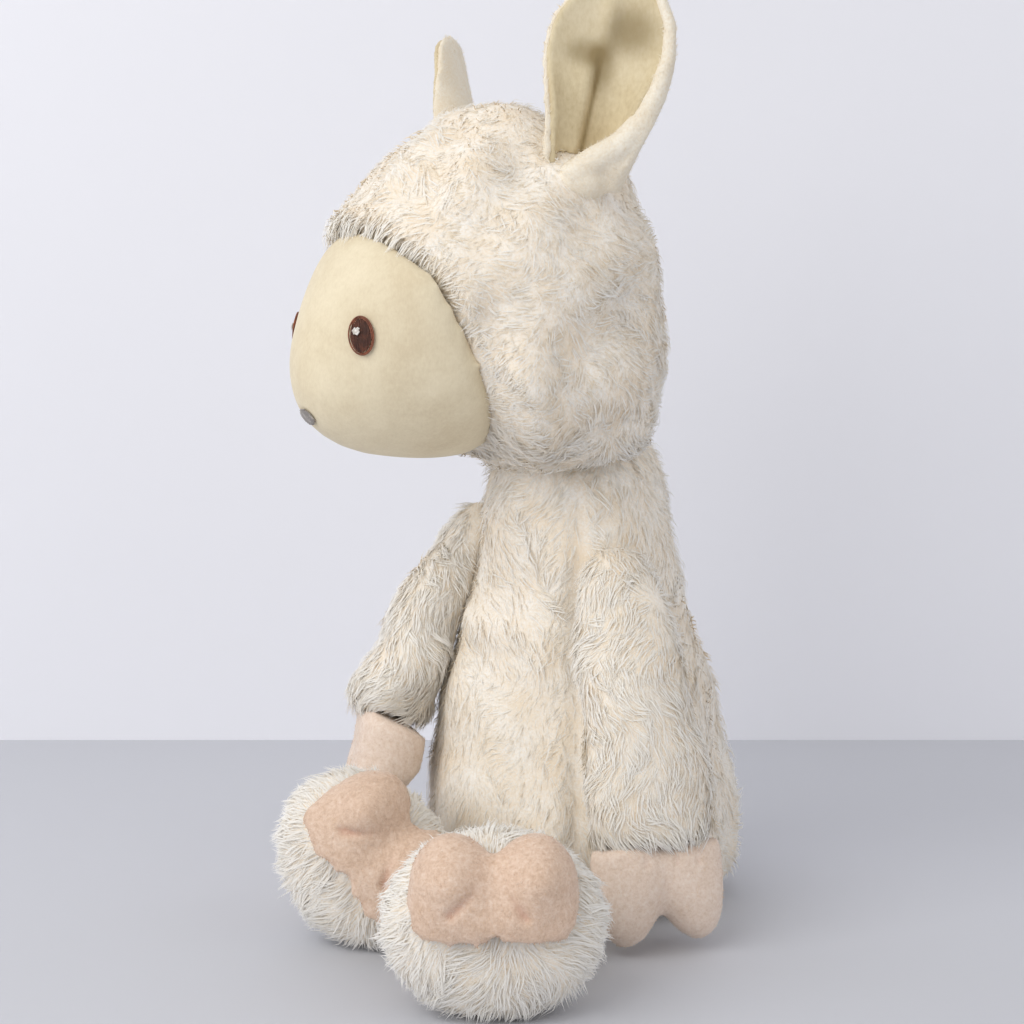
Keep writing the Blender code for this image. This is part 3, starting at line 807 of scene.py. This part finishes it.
for seed, side in ((301, "left"), (311, "right")):
    cover = stuffed(f"arm_{side}", f"arm_{side}_cover", voxel=0.005, inset=0.0, bulge=0.001)
    points = points_of(cover)
    low, high = points[:, 2].min(), points[:, 2].max()
    share = np.clip((points[:, 2] - low) / (high - low), 0, 1)
    inward = -unit(points * (1, 1, 0))
    points += inward * (0.0015 + SHOULDER_INWARD[side] * share ** 2)[:, None]
    points[:, 2] += SHOULDER_RISE[side] * share ** 2
    points[:, 2] += HEM_RISE[side] * outer_share(points, points) * np.clip(1 - share / 0.4, 0, 1)
    set_points(cover, points)
    lumpy(cover, height=0.0012, length=0.04, seed=seed + 5)
    cover.data.materials.append(pile_backing)
    comb = arm_comb(cover.name, WHORL[side])
    beside = ["torso", f"hand_{side}"]
    plant_undercoat(
        f"arm_{side}_undercoat", cover, count=10500, length=ARM_UNDERCOAT, comb=comb, seed=seed,
        avoid=beside, lift=8, density=not_below,
    )
    plant_locks(
        f"arm_{side}_locks", cover, count=4000, length=ARM_PILE, comb=comb, seed=seed + 1, avoid=beside,
        tint=0.7, lift=(20, 4), density=not_below,
    )

    def at_the_hem(middles, normals, hem=low):
        above = middles[:, 2] - hem - HEM_RISE[side] * outer_share(middles, middles)
        return np.exp(-(((above - 0.003) / 0.005) ** 2)) * not_below(middles, normals)

    plant_locks(
        f"arm_{side}_fringe", cover, count=1200, length=ARM_FRINGE, comb=comb, seed=seed + 2, lift=(9, -8),
        mess=0.3, tint=0.75, density=at_the_hem,
    )


# The legs and feet
# Two short tubes of the same cloth under the belly, each with a round foot stuffed hard at its end. The
# pile of the feet is the longest and whitest of the toy, and streams out from the soles.
FOOT_PILE, FOOT_UNDERCOAT, LEG_UNDERCOAT = 0.0125, 0.0085, 0.008
FOOT_DRAWN_IN = {"left": 0.001, "right": 0.0035}


def foot_comb(sole):
    centre = np.array([v.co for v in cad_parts[sole].data.vertices]).mean(0)

    def comb(roots, normals):
        """Away from the middle of the sole, in swirls."""
        ways = along_surface(roots - centre, normals)
        turn = 0.5 * waves(roots, length=0.04, seed=41) + 0.3 * waves(roots, length=0.015, seed=42)
        return swept(ways, normals, turn)

    return comb


for seed, side in ((401, "left"), (411, "right")):
    leg = stuffed(f"leg_{side}", f"leg_{side}_cover", voxel=0.005)
    leg.data.materials.append(pile_backing)
    beside = ["torso", f"foot_{side}"]
    plant_undercoat(
        f"leg_{side}_undercoat", leg, count=3500, length=LEG_UNDERCOAT, comb=comb_torso, seed=seed + 4,
        avoid=beside,
    )
    drawn_in = FOOT_DRAWN_IN[side]
    foot = stuffed(f"foot_{side}", f"foot_{side}_cover", voxel=0.005, inset=drawn_in, bulge=0.001)
    foot.data.materials.append(pile_backing)
    comb = foot_comb(f"sole_{side}")
    beside = [f"sole_{side}", f"leg_{side}", "torso"]
    plant_undercoat(
        f"foot_{side}_undercoat", foot, count=10500, length=FOOT_UNDERCOAT, comb=comb, seed=seed,
        avoid=beside, tint=0.85, lift=7, density=off_the_table,
    )
    plant_locks(
        f"foot_{side}_locks", foot, count=4100, length=FOOT_PILE, comb=comb, seed=seed + 1, avoid=beside,
        tint=0.85, lift=(15, 2), density=off_the_table,
    )


# The face
# A pad of short cream velour, stuffed firmly and sewn into the flat front of the head. Its nap is a
# millimetre long and lies down the muzzle, so it shows as a fine streaked grain and not as strands.
def velour(name, colours, sheen, streak, bump_depth, patches=45.0, painted_shade=None, cloudy=0.55):
    """Short nap: a fine streaked grain over soft patches, with a sheen at its edges.

    The painted shade argument names a share of painted shade that each point carries, and the colour that the
    nap takes where it is 1."""
    made, tree, shader = finish_of(
        name, Roughness=0.9, Specular_IOR_Level=0.15, Sheen_Weight=sheen, Sheen_Roughness=0.4
    )
    squeeze = node(tree, "ShaderNodeMapping", Scale=streak)
    feed(tree, squeeze.inputs["Vector"], node(tree, "ShaderNodeTexCoord").outputs["Object"])
    nap = speckle(tree, scale=1.0, detail=4.0, place=squeeze.outputs[0], Roughness=0.65)
    pebbles = maths(tree, "MULTIPLY", speckle(tree, scale=420.0, detail=2.0), 0.4)
    grain = maths(tree, "MULTIPLY_ADD", nap, 0.6, pebbles)
    plain = maths(tree, "MULTIPLY", grain, 1 - cloudy)
    shade = maths(tree, "MULTIPLY_ADD", speckle(tree, patches, detail=3.0), cloudy, plain)
    colour = colours_along(tree, shade, *zip((0.36, 0.5, 0.64), colours))
    if painted_shade:
        share = node(tree, "ShaderNodeAttribute", attribute_name=painted_shade[0]).outputs["Fac"]
        colour = blended(tree, share, colour, linear(painted_shade[1]))
    feed(tree, shader.inputs["Base Color"], colour)
    bumped(tree, shader, grain, strength=0.5, depth=bump_depth)
    return made


FACE_NAP = ((222, 207, 177), (232, 219, 190), (240, 228, 200))
face_velour = velour("face_velour", FACE_NAP, sheen=0.2, streak=(1100, 1100, 500), bump_depth=0.0004)
sewn = [(seam_middle, seam_normal)]
face = stuffed("face", "face_cover", voxel=0.004, inset=0.0, bulge=0.001, flats=sewn)
set_points(face, fuller_seam(points_of(face), cheek=0.0080, brow=0.0))
face.data.materials.append(face_velour)


# The eyes and nose
# Embroidery on the face: dark brown satin stitch along each eye with a reddish ring round it and a white
# glint, and a small grey nose of the same stitch at the tip of the muzzle.
STITCH = 0.00036
PITCH = 0.00062


def thread_material(name, colour, ply):
    """Shiny cotton thread: its plies show as fine slanted lines."""
    made, tree, shader = finish_of(name, Roughness=0.55, Sheen_Weight=0.1)
    fine = speckle(tree, scale=2200.0, detail=3.0)
    share = maths(tree, "MULTIPLY", maths(tree, "ADD", fine, speckle(tree, scale=350.0, detail=2.0)), 0.8)
    feed(tree, shader.inputs["Base Color"], colours_along(tree, share, (0.75, ply), (1.0, colour)))
    bumped(tree, shader, fine, strength=0.4, depth=0.0001)
    return made


def patch_of(solid):
    """A stitched patch's middle, its long, short and outward directions, half sizes and surface."""
    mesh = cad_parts[solid].data
    points = np.array([v.co for v in mesh.vertices])
    middle = points.mean(0)
    long_way, _, normal = np.linalg.svd(points - middle, full_matrices=False)[2]
    if normal @ (middle - HEAD_CENTRE) < 0:
        normal = -normal
    if long_way[2] < 0:
        long_way = -long_way
    short_way = np.cross(normal, long_way)
    halves = []
    for way in (long_way, short_way):
        reach = (points - points.mean(0)) @ way
        halves.append(np.ptp(reach) / 2)
        middle = middle + way * (reach.max() + reach.min()) / 2
    tree = BVHTree.FromPolygons([v.co for v in mesh.vertices], [p.vertices for p in mesh.polygons])
    return middle, long_way, short_way, normal, halves, tree


def tube(name, lines, thick, round_steps):
    """Threads or cords along lines of places, as one piece of closed tubes."""
    curve = bpy.data.curves.new(name, "CURVE")
    curve.dimensions = "3D"
    curve.bevel_depth = thick
    curve.bevel_resolution = round_steps
    curve.use_fill_caps = True
    for line in lines:
        spline = curve.splines.new("POLY")
        spline.points.add(len(line) - 1)
        for point, (place, radius) in zip(spline.points, line):
            point.co = (*place, 1)
            point.radius = radius
    piece = bpy.data.objects.new(name, curve)
    bpy.context.scene.collection.objects.link(piece)
    only(piece)
    bpy.ops.object.convert(target="MESH")
    return bpy.context.object


def stitch(name, solid, lines, thick, material, above=0.0):
    """Threads laid on a patch, each a list of places in its own long and short directions."""
    middle, long_way, short_way, normal, _, tree = patch_of(solid)
    outward = Vector(normal)

    def laid(along, aside):
        wanted = Vector(middle + long_way * along + short_way * aside)
        place = tree.ray_cast(wanted + outward * 0.02, -outward)[0] or tree.find_nearest(wanted)[0]
        return place + outward * above, 1.0

    piece = tube(name, [[laid(*place) for place in line] for line in lines], thick, round_steps=1)
    piece.data.materials.clear()
    piece.data.materials.append(material)
    piece.data.shade_smooth()
    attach(piece, "root")
    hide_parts(solid)


def satin(long_half, short_half, pitch, random, steps=6):
    """Rows of stitches side by side that fill an oval, with uneven ends."""
    rows = []
    for row in np.arange(-short_half + pitch / 2, short_half, pitch):
        half = long_half * math.sqrt(max(0.0, 1 - (row / short_half) ** 2))
        if half < pitch:
            continue
        low, high = -half + random.uniform(0, 0.0004), half - random.uniform(0, 0.0004)
        rows.append([(t, row + random.normal() * 0.00004) for t in np.linspace(low, high, steps)])
    return rows


def ring(long_half, short_half, steps=40):
    turn = np.linspace(0, 2 * math.pi, steps + 1)
    return [(long_half * math.sin(t), short_half * math.cos(t)) for t in turn]


eye_thread = thread_material("eye_thread", colour=(106, 58, 36), ply=(66, 33, 19))
rim_thread = thread_material("rim_thread", colour=(158, 92, 62), ply=(112, 60, 38))
glint_thread = thread_material("glint_thread", colour=(246, 244, 240), ply=(214, 208, 200))
nose_thread = thread_material("nose_thread", colour=(196, 190, 184), ply=(146, 140, 136))
random = np.random.default_rng(51)
for side in ("left", "right"):
    eye, rim, glint = f"eye_{side}", f"eye_rim_{side}", f"eye_glint_{side}"
    rows = satin(*patch_of(eye)[4], PITCH, random)
    stitch(f"{eye}_stitches", eye, rows, STITCH, eye_thread, above=-0.0001)
    tall, broad = patch_of(rim)[4]
    rings = [ring(tall - inset, broad - inset) for inset in (0.0003, 0.0010)]
    stitch(f"{rim}_stitches", rim, rings, STITCH, rim_thread, above=0.00005)
    rows = satin(*patch_of(glint)[4], 0.0006, random, 4)
    stitch(f"{glint}_stitches", glint, rows, STITCH, glint_thread, above=0.0001)
rows = satin(*patch_of("nose")[4], PITCH, random)
stitch("nose_stitches", "nose", rows, STITCH, nose_thread, above=-0.0001)


# The ears
# Each ear is two cloths sewn at the rim and rolled together at the root: a back of short pile, whose outer
# edge turns over the front as a thick rim, and a smooth pale lining with one sharp fold down its middle.
EAR_LENGTH = 0.090
EAR_LEAN = {"left": (6, 4, 58), "right": (-36, 8, -33)}
EAR_PILE = 0.0030
LINING_HEM = -0.0050
LINING_NAP = ((200, 183, 147), (217, 202, 168), (229, 216, 186))
LINING_SHADE = (150, 132, 96)


def ear_place(side):
    """The ear's own frame: across X, open towards Y, its length up Z."""
    outward, backward, facing = (math.radians(angle) for angle in EAR_LEAN[side])
    lean = Matrix.Rotation(outward, 4, "Y") @ Matrix.Rotation(-backward, 4, "X")
    ear = Matrix.Translation(EAR_PLACE[side]) @ lean @ Matrix.Rotation(math.pi + facing, 4, "Z")
    return Matrix.Translation(HEAD_CENTRE) @ Matrix.Rotation(HEAD_TURN, 4, "Z") @ ear


def reshape_ear(piece, side, change):
    """Moves a piece's points in its ear's frame, mirrored for the right ear so that both match."""
    place = np.array(ear_place(side))
    mirror = np.array([1 if side == "left" else -1, 1, 1])
    own = ((points_of(piece) - place[:3, 3]) @ place[:3, :3]) * mirror
    set_points(piece, (change(own) * mirror) @ place[:3, :3].T + place[:3, 3])
    return own


def widen_ear(own, outer_edge=0.0, inner_edge=0.0):
    """Spreads the ear's inner edge and root, and moves its outer edge."""
    height = own[:, 2] / EAR_LENGTH
    inner = np.interp(
        height, [0, 0.1, 0.2, 0.3, 0.45, 0.8, 0.93, 1],
        [0.010, 0.0135, 0.0105, 0.007, 0.0045, 0.0045, 0.002, -0.006],
    )
    inner += inner_edge * np.interp(height, [0.8, 1], [1, 0])
    outer = outer_edge * np.interp(height, [0, 0.45, 0.65], [1, 1, 0])
    outer += np.interp(height, [0.8, 0.92, 1], [0, 0.001, -0.006])
    halves = [0.005, 0.006, 0.009, 0.017, 0.0225, 0.020, 0.010]
    half = np.interp(height, [0, 0.1, 0.2, 0.4, 0.6, 0.8, 1], halves)
    share = np.clip(own[:, 0] / half, -1, 1)
    moved = own.copy()
    moved[:, 0] += np.where(share > 0, inner * share, outer * share)
    return moved


def fold_at(height):
    """How far across the ear its lining's fold lies, at each height."""
    return np.interp(height, [0.15, 0.55, 0.75], [0.0105, 0.0070, 0.0060])


def fold_lining(own):
    """Raises the inner flap along its fold, and leaves two soft hollows in the upper half."""
    x, z = own[:, 0], own[:, 2] / EAR_LENGTH
    window = np.clip((z - 0.08) / 0.1, 0, 1) * np.clip((0.68 - z) / 0.2, 0, 1)
    beyond = x - fold_at(z)
    flap = 1 / (1 + np.exp(-beyond / 0.0006)) * np.exp(-((np.maximum(beyond, 0) / 0.011) ** 2))
    moved = own.copy()
    moved[:, 1] += 0.0042 * flap * window
    ridge = np.exp(-(((x - 0.0035) / 0.004) ** 2 + ((z - 0.78) / 0.16) ** 2))
    soft = np.exp(-(((x + 0.0105) / 0.0028) ** 2 + ((z - 0.5) / 0.12) ** 2))
    moved[:, 1] += 0.0022 * ridge + 0.0010 * soft
    return moved


def rim_of_ear(side):
    """The rolled edge on the ear's outer side and the round root, as one lump in the ear's frame."""
    mirror = 1 if side == "left" else -1
    edge = (
        (-0.0070, 0.0015, 0.0885, 0.0018), (-0.0155, 0.0060, 0.0835, 0.0025), (-0.0215, 0.0085, 0.0715, 0.0029),
        (-0.0222, 0.0105, 0.0580, 0.0033), (-0.0196, 0.0115, 0.0440, 0.0042), (-0.0145, 0.0120, 0.0310, 0.0054),
        (-0.0065, 0.0135, 0.0200, 0.0060), (0.0040, 0.0155, 0.0125, 0.0062), (0.0120, 0.0165, 0.0060, 0.0058),
        (0.0140, 0.0150, -0.0010, 0.0040),
    )
    rim = tube("rim", [[((x * mirror, y, z), radius) for x, y, z, radius in edge]], thick=1.0, round_steps=3)
    lumps = (
        ((0.0080, 0.0120, 0.0035), (0.0120, 0.0095, 0.0085)),
        ((-0.0040, 0.0090, 0.0115), (0.0085, 0.0090, 0.0080)),
        ((0.0120, 0.0080, 0.0070), (0.0070, 0.0060, 0.0065)),
    )
    for (x, y, z), sizes in lumps:
        bpy.ops.mesh.primitive_uv_sphere_add(
            segments=24, ring_count=16, radius=1, location=(x * mirror, y, z)
        )
        root = bpy.context.object
        root.scale = sizes
        bpy.ops.object.transform_apply(location=True, rotation=True, scale=True)
        only(rim)
        root.select_set(True)
        bpy.ops.object.join()
    rim.data.transform(ear_place(side))
    return rim


def ear_cloth(solid, name, side, voxel, outer_edge=0.0, inner_edge=0.0, extra=None):
    piece = copy_solid(solid, name)
    reshape_ear(piece, side, lambda own: widen_ear(own, outer_edge, inner_edge))
    if extra:
        only(piece)
        extra.select_set(True)
        bpy.ops.object.join()
    shape_by(piece, "REMESH", mode="VOXEL", voxel_size=voxel)
    shape_by(piece, "SMOOTH", factor=0.5, iterations=5)
    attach(piece, "root")
    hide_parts(solid)
    return piece


def comb_ear(roots, normals):
    """Out and up along the ear, in small curls."""
    ways = along_surface(np.tile([0.0, 0.0, 1.0], (len(roots), 1)), normals)
    return swept(ways, normals, 1.2 * waves(roots, length=0.012, seed=61))


def lining_shade(own):
    """Where the lining's colour is darkened with painted shade: in the two hollows and under the fold."""
    x, z = own[:, 0], own[:, 2] / EAR_LENGTH
    outer = np.exp(-(((x + 0.0055) / 0.0115) ** 2 + ((z - 0.75) / 0.115) ** 2) ** 1.5)
    inner = np.exp(-(((x - 0.0125) / 0.0080) ** 2 + ((z - 0.63) / 0.060) ** 2) ** 1.5)
    middle = np.exp(-(((x - 0.0050) / 0.0055) ** 2 + ((z - 0.58) / 0.120) ** 2) ** 1.5)
    edge = np.exp(-(((x - fold_at(z) + 0.0010) / 0.0010) ** 2))
    under = edge * np.clip((z - 0.1) / 0.08, 0, 1) * np.clip((0.62 - z) / 0.1, 0, 1)
    return np.clip(0.8 * outer + 0.7 * inner + 0.75 * middle + 0.8 * under, 0, 1)


def shade_nap(piece, shares):
    """Stores how far each point's colour is darkened with painted shade, in the attribute named nap."""
    # The attribute named nap holds each point's share of painted shade.
    nap = piece.data.attributes.new("nap", "FLOAT", "POINT")
    nap.data.foreach_set("value", shares.astype(np.float32))


lining = velour(
    "ear_lining_cloth", LINING_NAP, sheen=0.15, streak=(700, 700, 300), bump_depth=0.0002, patches=30.0,
    painted_shade=("nap", LINING_SHADE),
)
ear_pile = pile_material("ear_pile", root=(234, 221, 198), halfway=(247, 240, 225), tip=(252, 249, 242))
ear_backing = backing_material("ear_backing", dark=(236, 223, 200), light=(247, 240, 225))
for seed, side in ((601, "left"), (611, "right")):
    inner = ear_cloth(
        f"ear_lining_{side}", f"ear_{side}_lining_cloth", side, voxel=0.0012, outer_edge=LINING_HEM,
        inner_edge=0.0016,
    )
    own = reshape_ear(inner, side, fold_lining)
    shape_by(inner, "SMOOTH", factor=0.3, iterations=1)
    shade_nap(inner, lining_shade(own))
    inner.data.shade_smooth()
    inner.data.materials.append(lining)
    outer = ear_cloth(
        f"ear_back_{side}", f"ear_{side}_back_cloth", side, voxel=0.0015, extra=rim_of_ear(side)
    )
    outer.data.shade_smooth()
    outer.data.materials.append(ear_backing)
    plant_undercoat(
        f"ear_{side}_pile", outer, count=4500, length=EAR_PILE, comb=comb_ear, seed=seed,
        avoid=[f"ear_lining_{side}"], lift=24, mess=1.0, wide=0.00022, pile=ear_pile,
    )


# The hands
# Peach velour mitts with two round lobes, lightly filled, which come out of the arms' fringes. A crease runs
# up from between the lobes, and puckers run down from the fringe.
NAP_LENGTH = 0.0020
HAND_RISE = {"left": 0.0, "right": 0.012}
HAND_SPREAD = {"left": 0.0, "right": 0.006}
HAND_NAP = ((222, 199, 180), (236, 216, 200), (245, 229, 216))
CREASE_SHADE = (186, 126, 104)
hand_velour = velour(
    "hand_velour", HAND_NAP, sheen=0.35, streak=(900, 900, 900), bump_depth=0.0008, patches=60.0,
    painted_shade=("nap", CREASE_SHADE), cloudy=0.15,
)
hand_nap = pile_material("hand_nap", root=(226, 200, 180), halfway=(240, 221, 206), tip=(248, 236, 226))


def creased(piece, lines, lobes, outward):
    """Presses creases into a stuffed piece and swells its lobes, and shades the nap in the creases."""
    points, normals = points_of(piece), normals_of(piece)
    facing = np.clip(normals @ outward, 0, 1)[:, None]
    move = np.zeros_like(points)
    for middle, radius, height in lobes:
        far = np.linalg.norm(points - middle, axis=1) / radius
        move += (np.exp(-(far ** 2)) * height)[:, None] * np.array(outward) * facing
    shade = np.zeros(len(points))
    for line, width, depth in lines:
        near = nearness(points, line, width)
        move -= (near * depth)[:, None] * normals
        shade = np.maximum(shade, near ** 1.5 * np.clip(depth / 0.003, 0, 1))
    set_points(piece, points + move)
    shade_nap(piece, 0.6 * shade)


def plant_nap(name, skin, count, creases, seed, pile):
    """The velour's own nap as fine short spikes, sparse in the creases."""

    def clear_of_creases(middles, normals):
        near = [nearness(middles, line, width) for line, width, _ in creases]
        return (1 - 0.85 * np.max(near, axis=0)) * (middles[:, 2] > 0.002)

    def curls(roots, normals):
        ways = along_surface(np.tile(DOWN, (len(roots), 1)), normals)
        return swept(ways, normals, 1.5 * waves(roots, length=0.01, seed=seed))

    plant_undercoat(
        name, skin, count, NAP_LENGTH, curls, seed, density=clear_of_creases, lift=30, mess=1.0, wide=0.00026,
        hollows=0.3, pile=pile,
    )


for seed, side in ((701, "left"), (711, "right")):
    hand = stuffed(f"hand_{side}", f"hand_{side}_cover", voxel=0.0026, inset=-0.0008, bulge=0.0008)
    points = points_of(hand)
    height, outer = points[:, 2], outer_share(points, points)
    raised = np.clip((height - np.quantile(height, 0.7)) / 0.006, 0, 1) * outer
    wide_top = np.clip((height - np.quantile(height, 0.3)) / 0.010, 0, 1) * (1 - outer)
    points[:, 2] += HAND_RISE[side] * raised
    points += np.array(across_view) * (HAND_SPREAD[side] * wide_top)[:, None]
    set_points(hand, points)
    middle = points.mean(0)
    thin = np.linalg.svd(points - middle, full_matrices=False)[2][2]
    thin = thin if thin @ (middle * (1, 1, 0)) > 0 else -thin
    down = unit(DOWN - (DOWN @ thin) * thin)
    aside = np.cross(thin, down)
    tip = middle + down * 0.014
    creases = [
        ([tip + thin * 0.012, middle + thin * 0.014 - down * 0.002], 0.0022, 0.0020),
        ([tip - thin * 0.012, middle - thin * 0.014 - down * 0.002], 0.0022, 0.0020),
    ]
    for offset in (-0.017, -0.008, 0.004, 0.013):
        for face_side in (1, -1):
            start = middle + aside * offset + thin * 0.013 * face_side - down * 0.022
            creases.append(([start, start + down * 0.011 + aside * offset * 0.12], 0.0014, 0.0009))
    creased(hand, creases, [], thin)
    hand.data.materials.append(hand_velour)
    plant_nap(f"hand_{side}_nap", hand, count=2600, creases=creases, seed=seed, pile=hand_nap)


# The soles
# Cloven pads of the same peach velour, stuffed soft and sewn on the feet with small stitches. Two creases run
# from the cleft to the lower edge and part the two toes from a smooth triangle.
FOOT_REACH = {"left": (0.1745, 27), "right": (0.126, -9)}
FOOT_FACING = {"left": 40, "right": 33}
FOOT_ROLL = {"left": 0, "right": -50}
FOOT_LIFT = 0.10
FOOT_HEIGHT = 0.0355
SOLE_SPREAD = {"left": 0.0010, "right": 0.0030}
SOLE_STANDS = {"left": 0.0028, "right": 0.0055}
PAD_OUT = 0.036
TOE_RADIUS, TOE_SWELL = 0.0125, 0.0075
PEACH_NAP = ((208, 179, 156), (226, 198, 176), (239, 216, 198))
peach = velour(
    "peach_velour", PEACH_NAP, sheen=0.35, streak=(900, 900, 900), bump_depth=0.0009, patches=60.0,
    painted_shade=("nap", CREASE_SHADE), cloudy=0.15,
)
peach_nap = pile_material("peach_nap", root=(214, 180, 156), halfway=(232, 206, 186), tip=(244, 226, 210))
for seed, side in ((721, "left"), (731, "right")):
    reach, bearing = FOOT_REACH[side]
    bearing = math.radians(bearing)
    centre = Vector((math.sin(bearing) * reach, -math.cos(bearing) * reach, FOOT_HEIGHT))
    turn = math.radians(FOOT_FACING[side])
    facing = Vector((math.sin(turn), -math.cos(turn), FOOT_LIFT)).normalized()
    up = Matrix.Rotation(math.radians(FOOT_ROLL[side]), 3, facing) @ Vector((0, 0, 1))
    up = (up - facing * up.dot(facing)).normalized()
    right = up.cross(facing)

    def on_sole(x, z, out=PAD_OUT):
        return np.array(centre + right * x + up * z + facing * out)

    sole = stuffed(f"sole_{side}", f"sole_{side}_cover", voxel=0.0026, inset=-0.0006, bulge=0.0008)
    cleft, left_end, right_end = (0.0, 0.0275), (-0.0165, 0.0105), (0.0120, 0.0095)
    creases = [
        ([on_sole(0, 0.040), on_sole(0, 0.034), on_sole(*cleft)], 0.0023, 0.0085),
        ([on_sole(*cleft), on_sole(-0.0065, 0.0195), on_sole(*left_end)], 0.0019, 0.0022),
        ([on_sole(*cleft), on_sole(0.0050, 0.0190), on_sole(*right_end)], 0.0019, 0.0022),
    ]
    toes = [(on_sole(x, z), TOE_RADIUS, TOE_SWELL) for x, z in ((-0.0180, 0.0225), (0.0178, 0.0230))]
    points = points_of(sole)
    offsets = points - np.array(centre)
    aside, raised, ahead = (offsets @ np.array(way) for way in (right, up, facing))
    lower = np.clip((0.016 - raised) / 0.016, 0, 1) * np.clip((ahead - 0.012) / 0.012, 0, 1)
    points += np.array(right) * (SOLE_SPREAD[side] * lower * np.clip(aside / 0.016, -1, 1))[:, None]
    points -= np.array(up) * (SOLE_SPREAD[side] * 1.3 * lower)[:, None]
    points += np.array(facing) * (SOLE_STANDS[side] * lower)[:, None]
    set_points(sole, points)
    shape_by(sole, "SMOOTH", factor=0.5, iterations=6)
    creased(sole, creases, [*toes, (on_sole(-0.001, 0.006), 0.012, 0.0035)], np.array(facing))
    sole.data.materials.append(peach)
    plant_nap(f"sole_{side}_nap", sole, count=3800, creases=creases, seed=seed, pile=peach_nap)
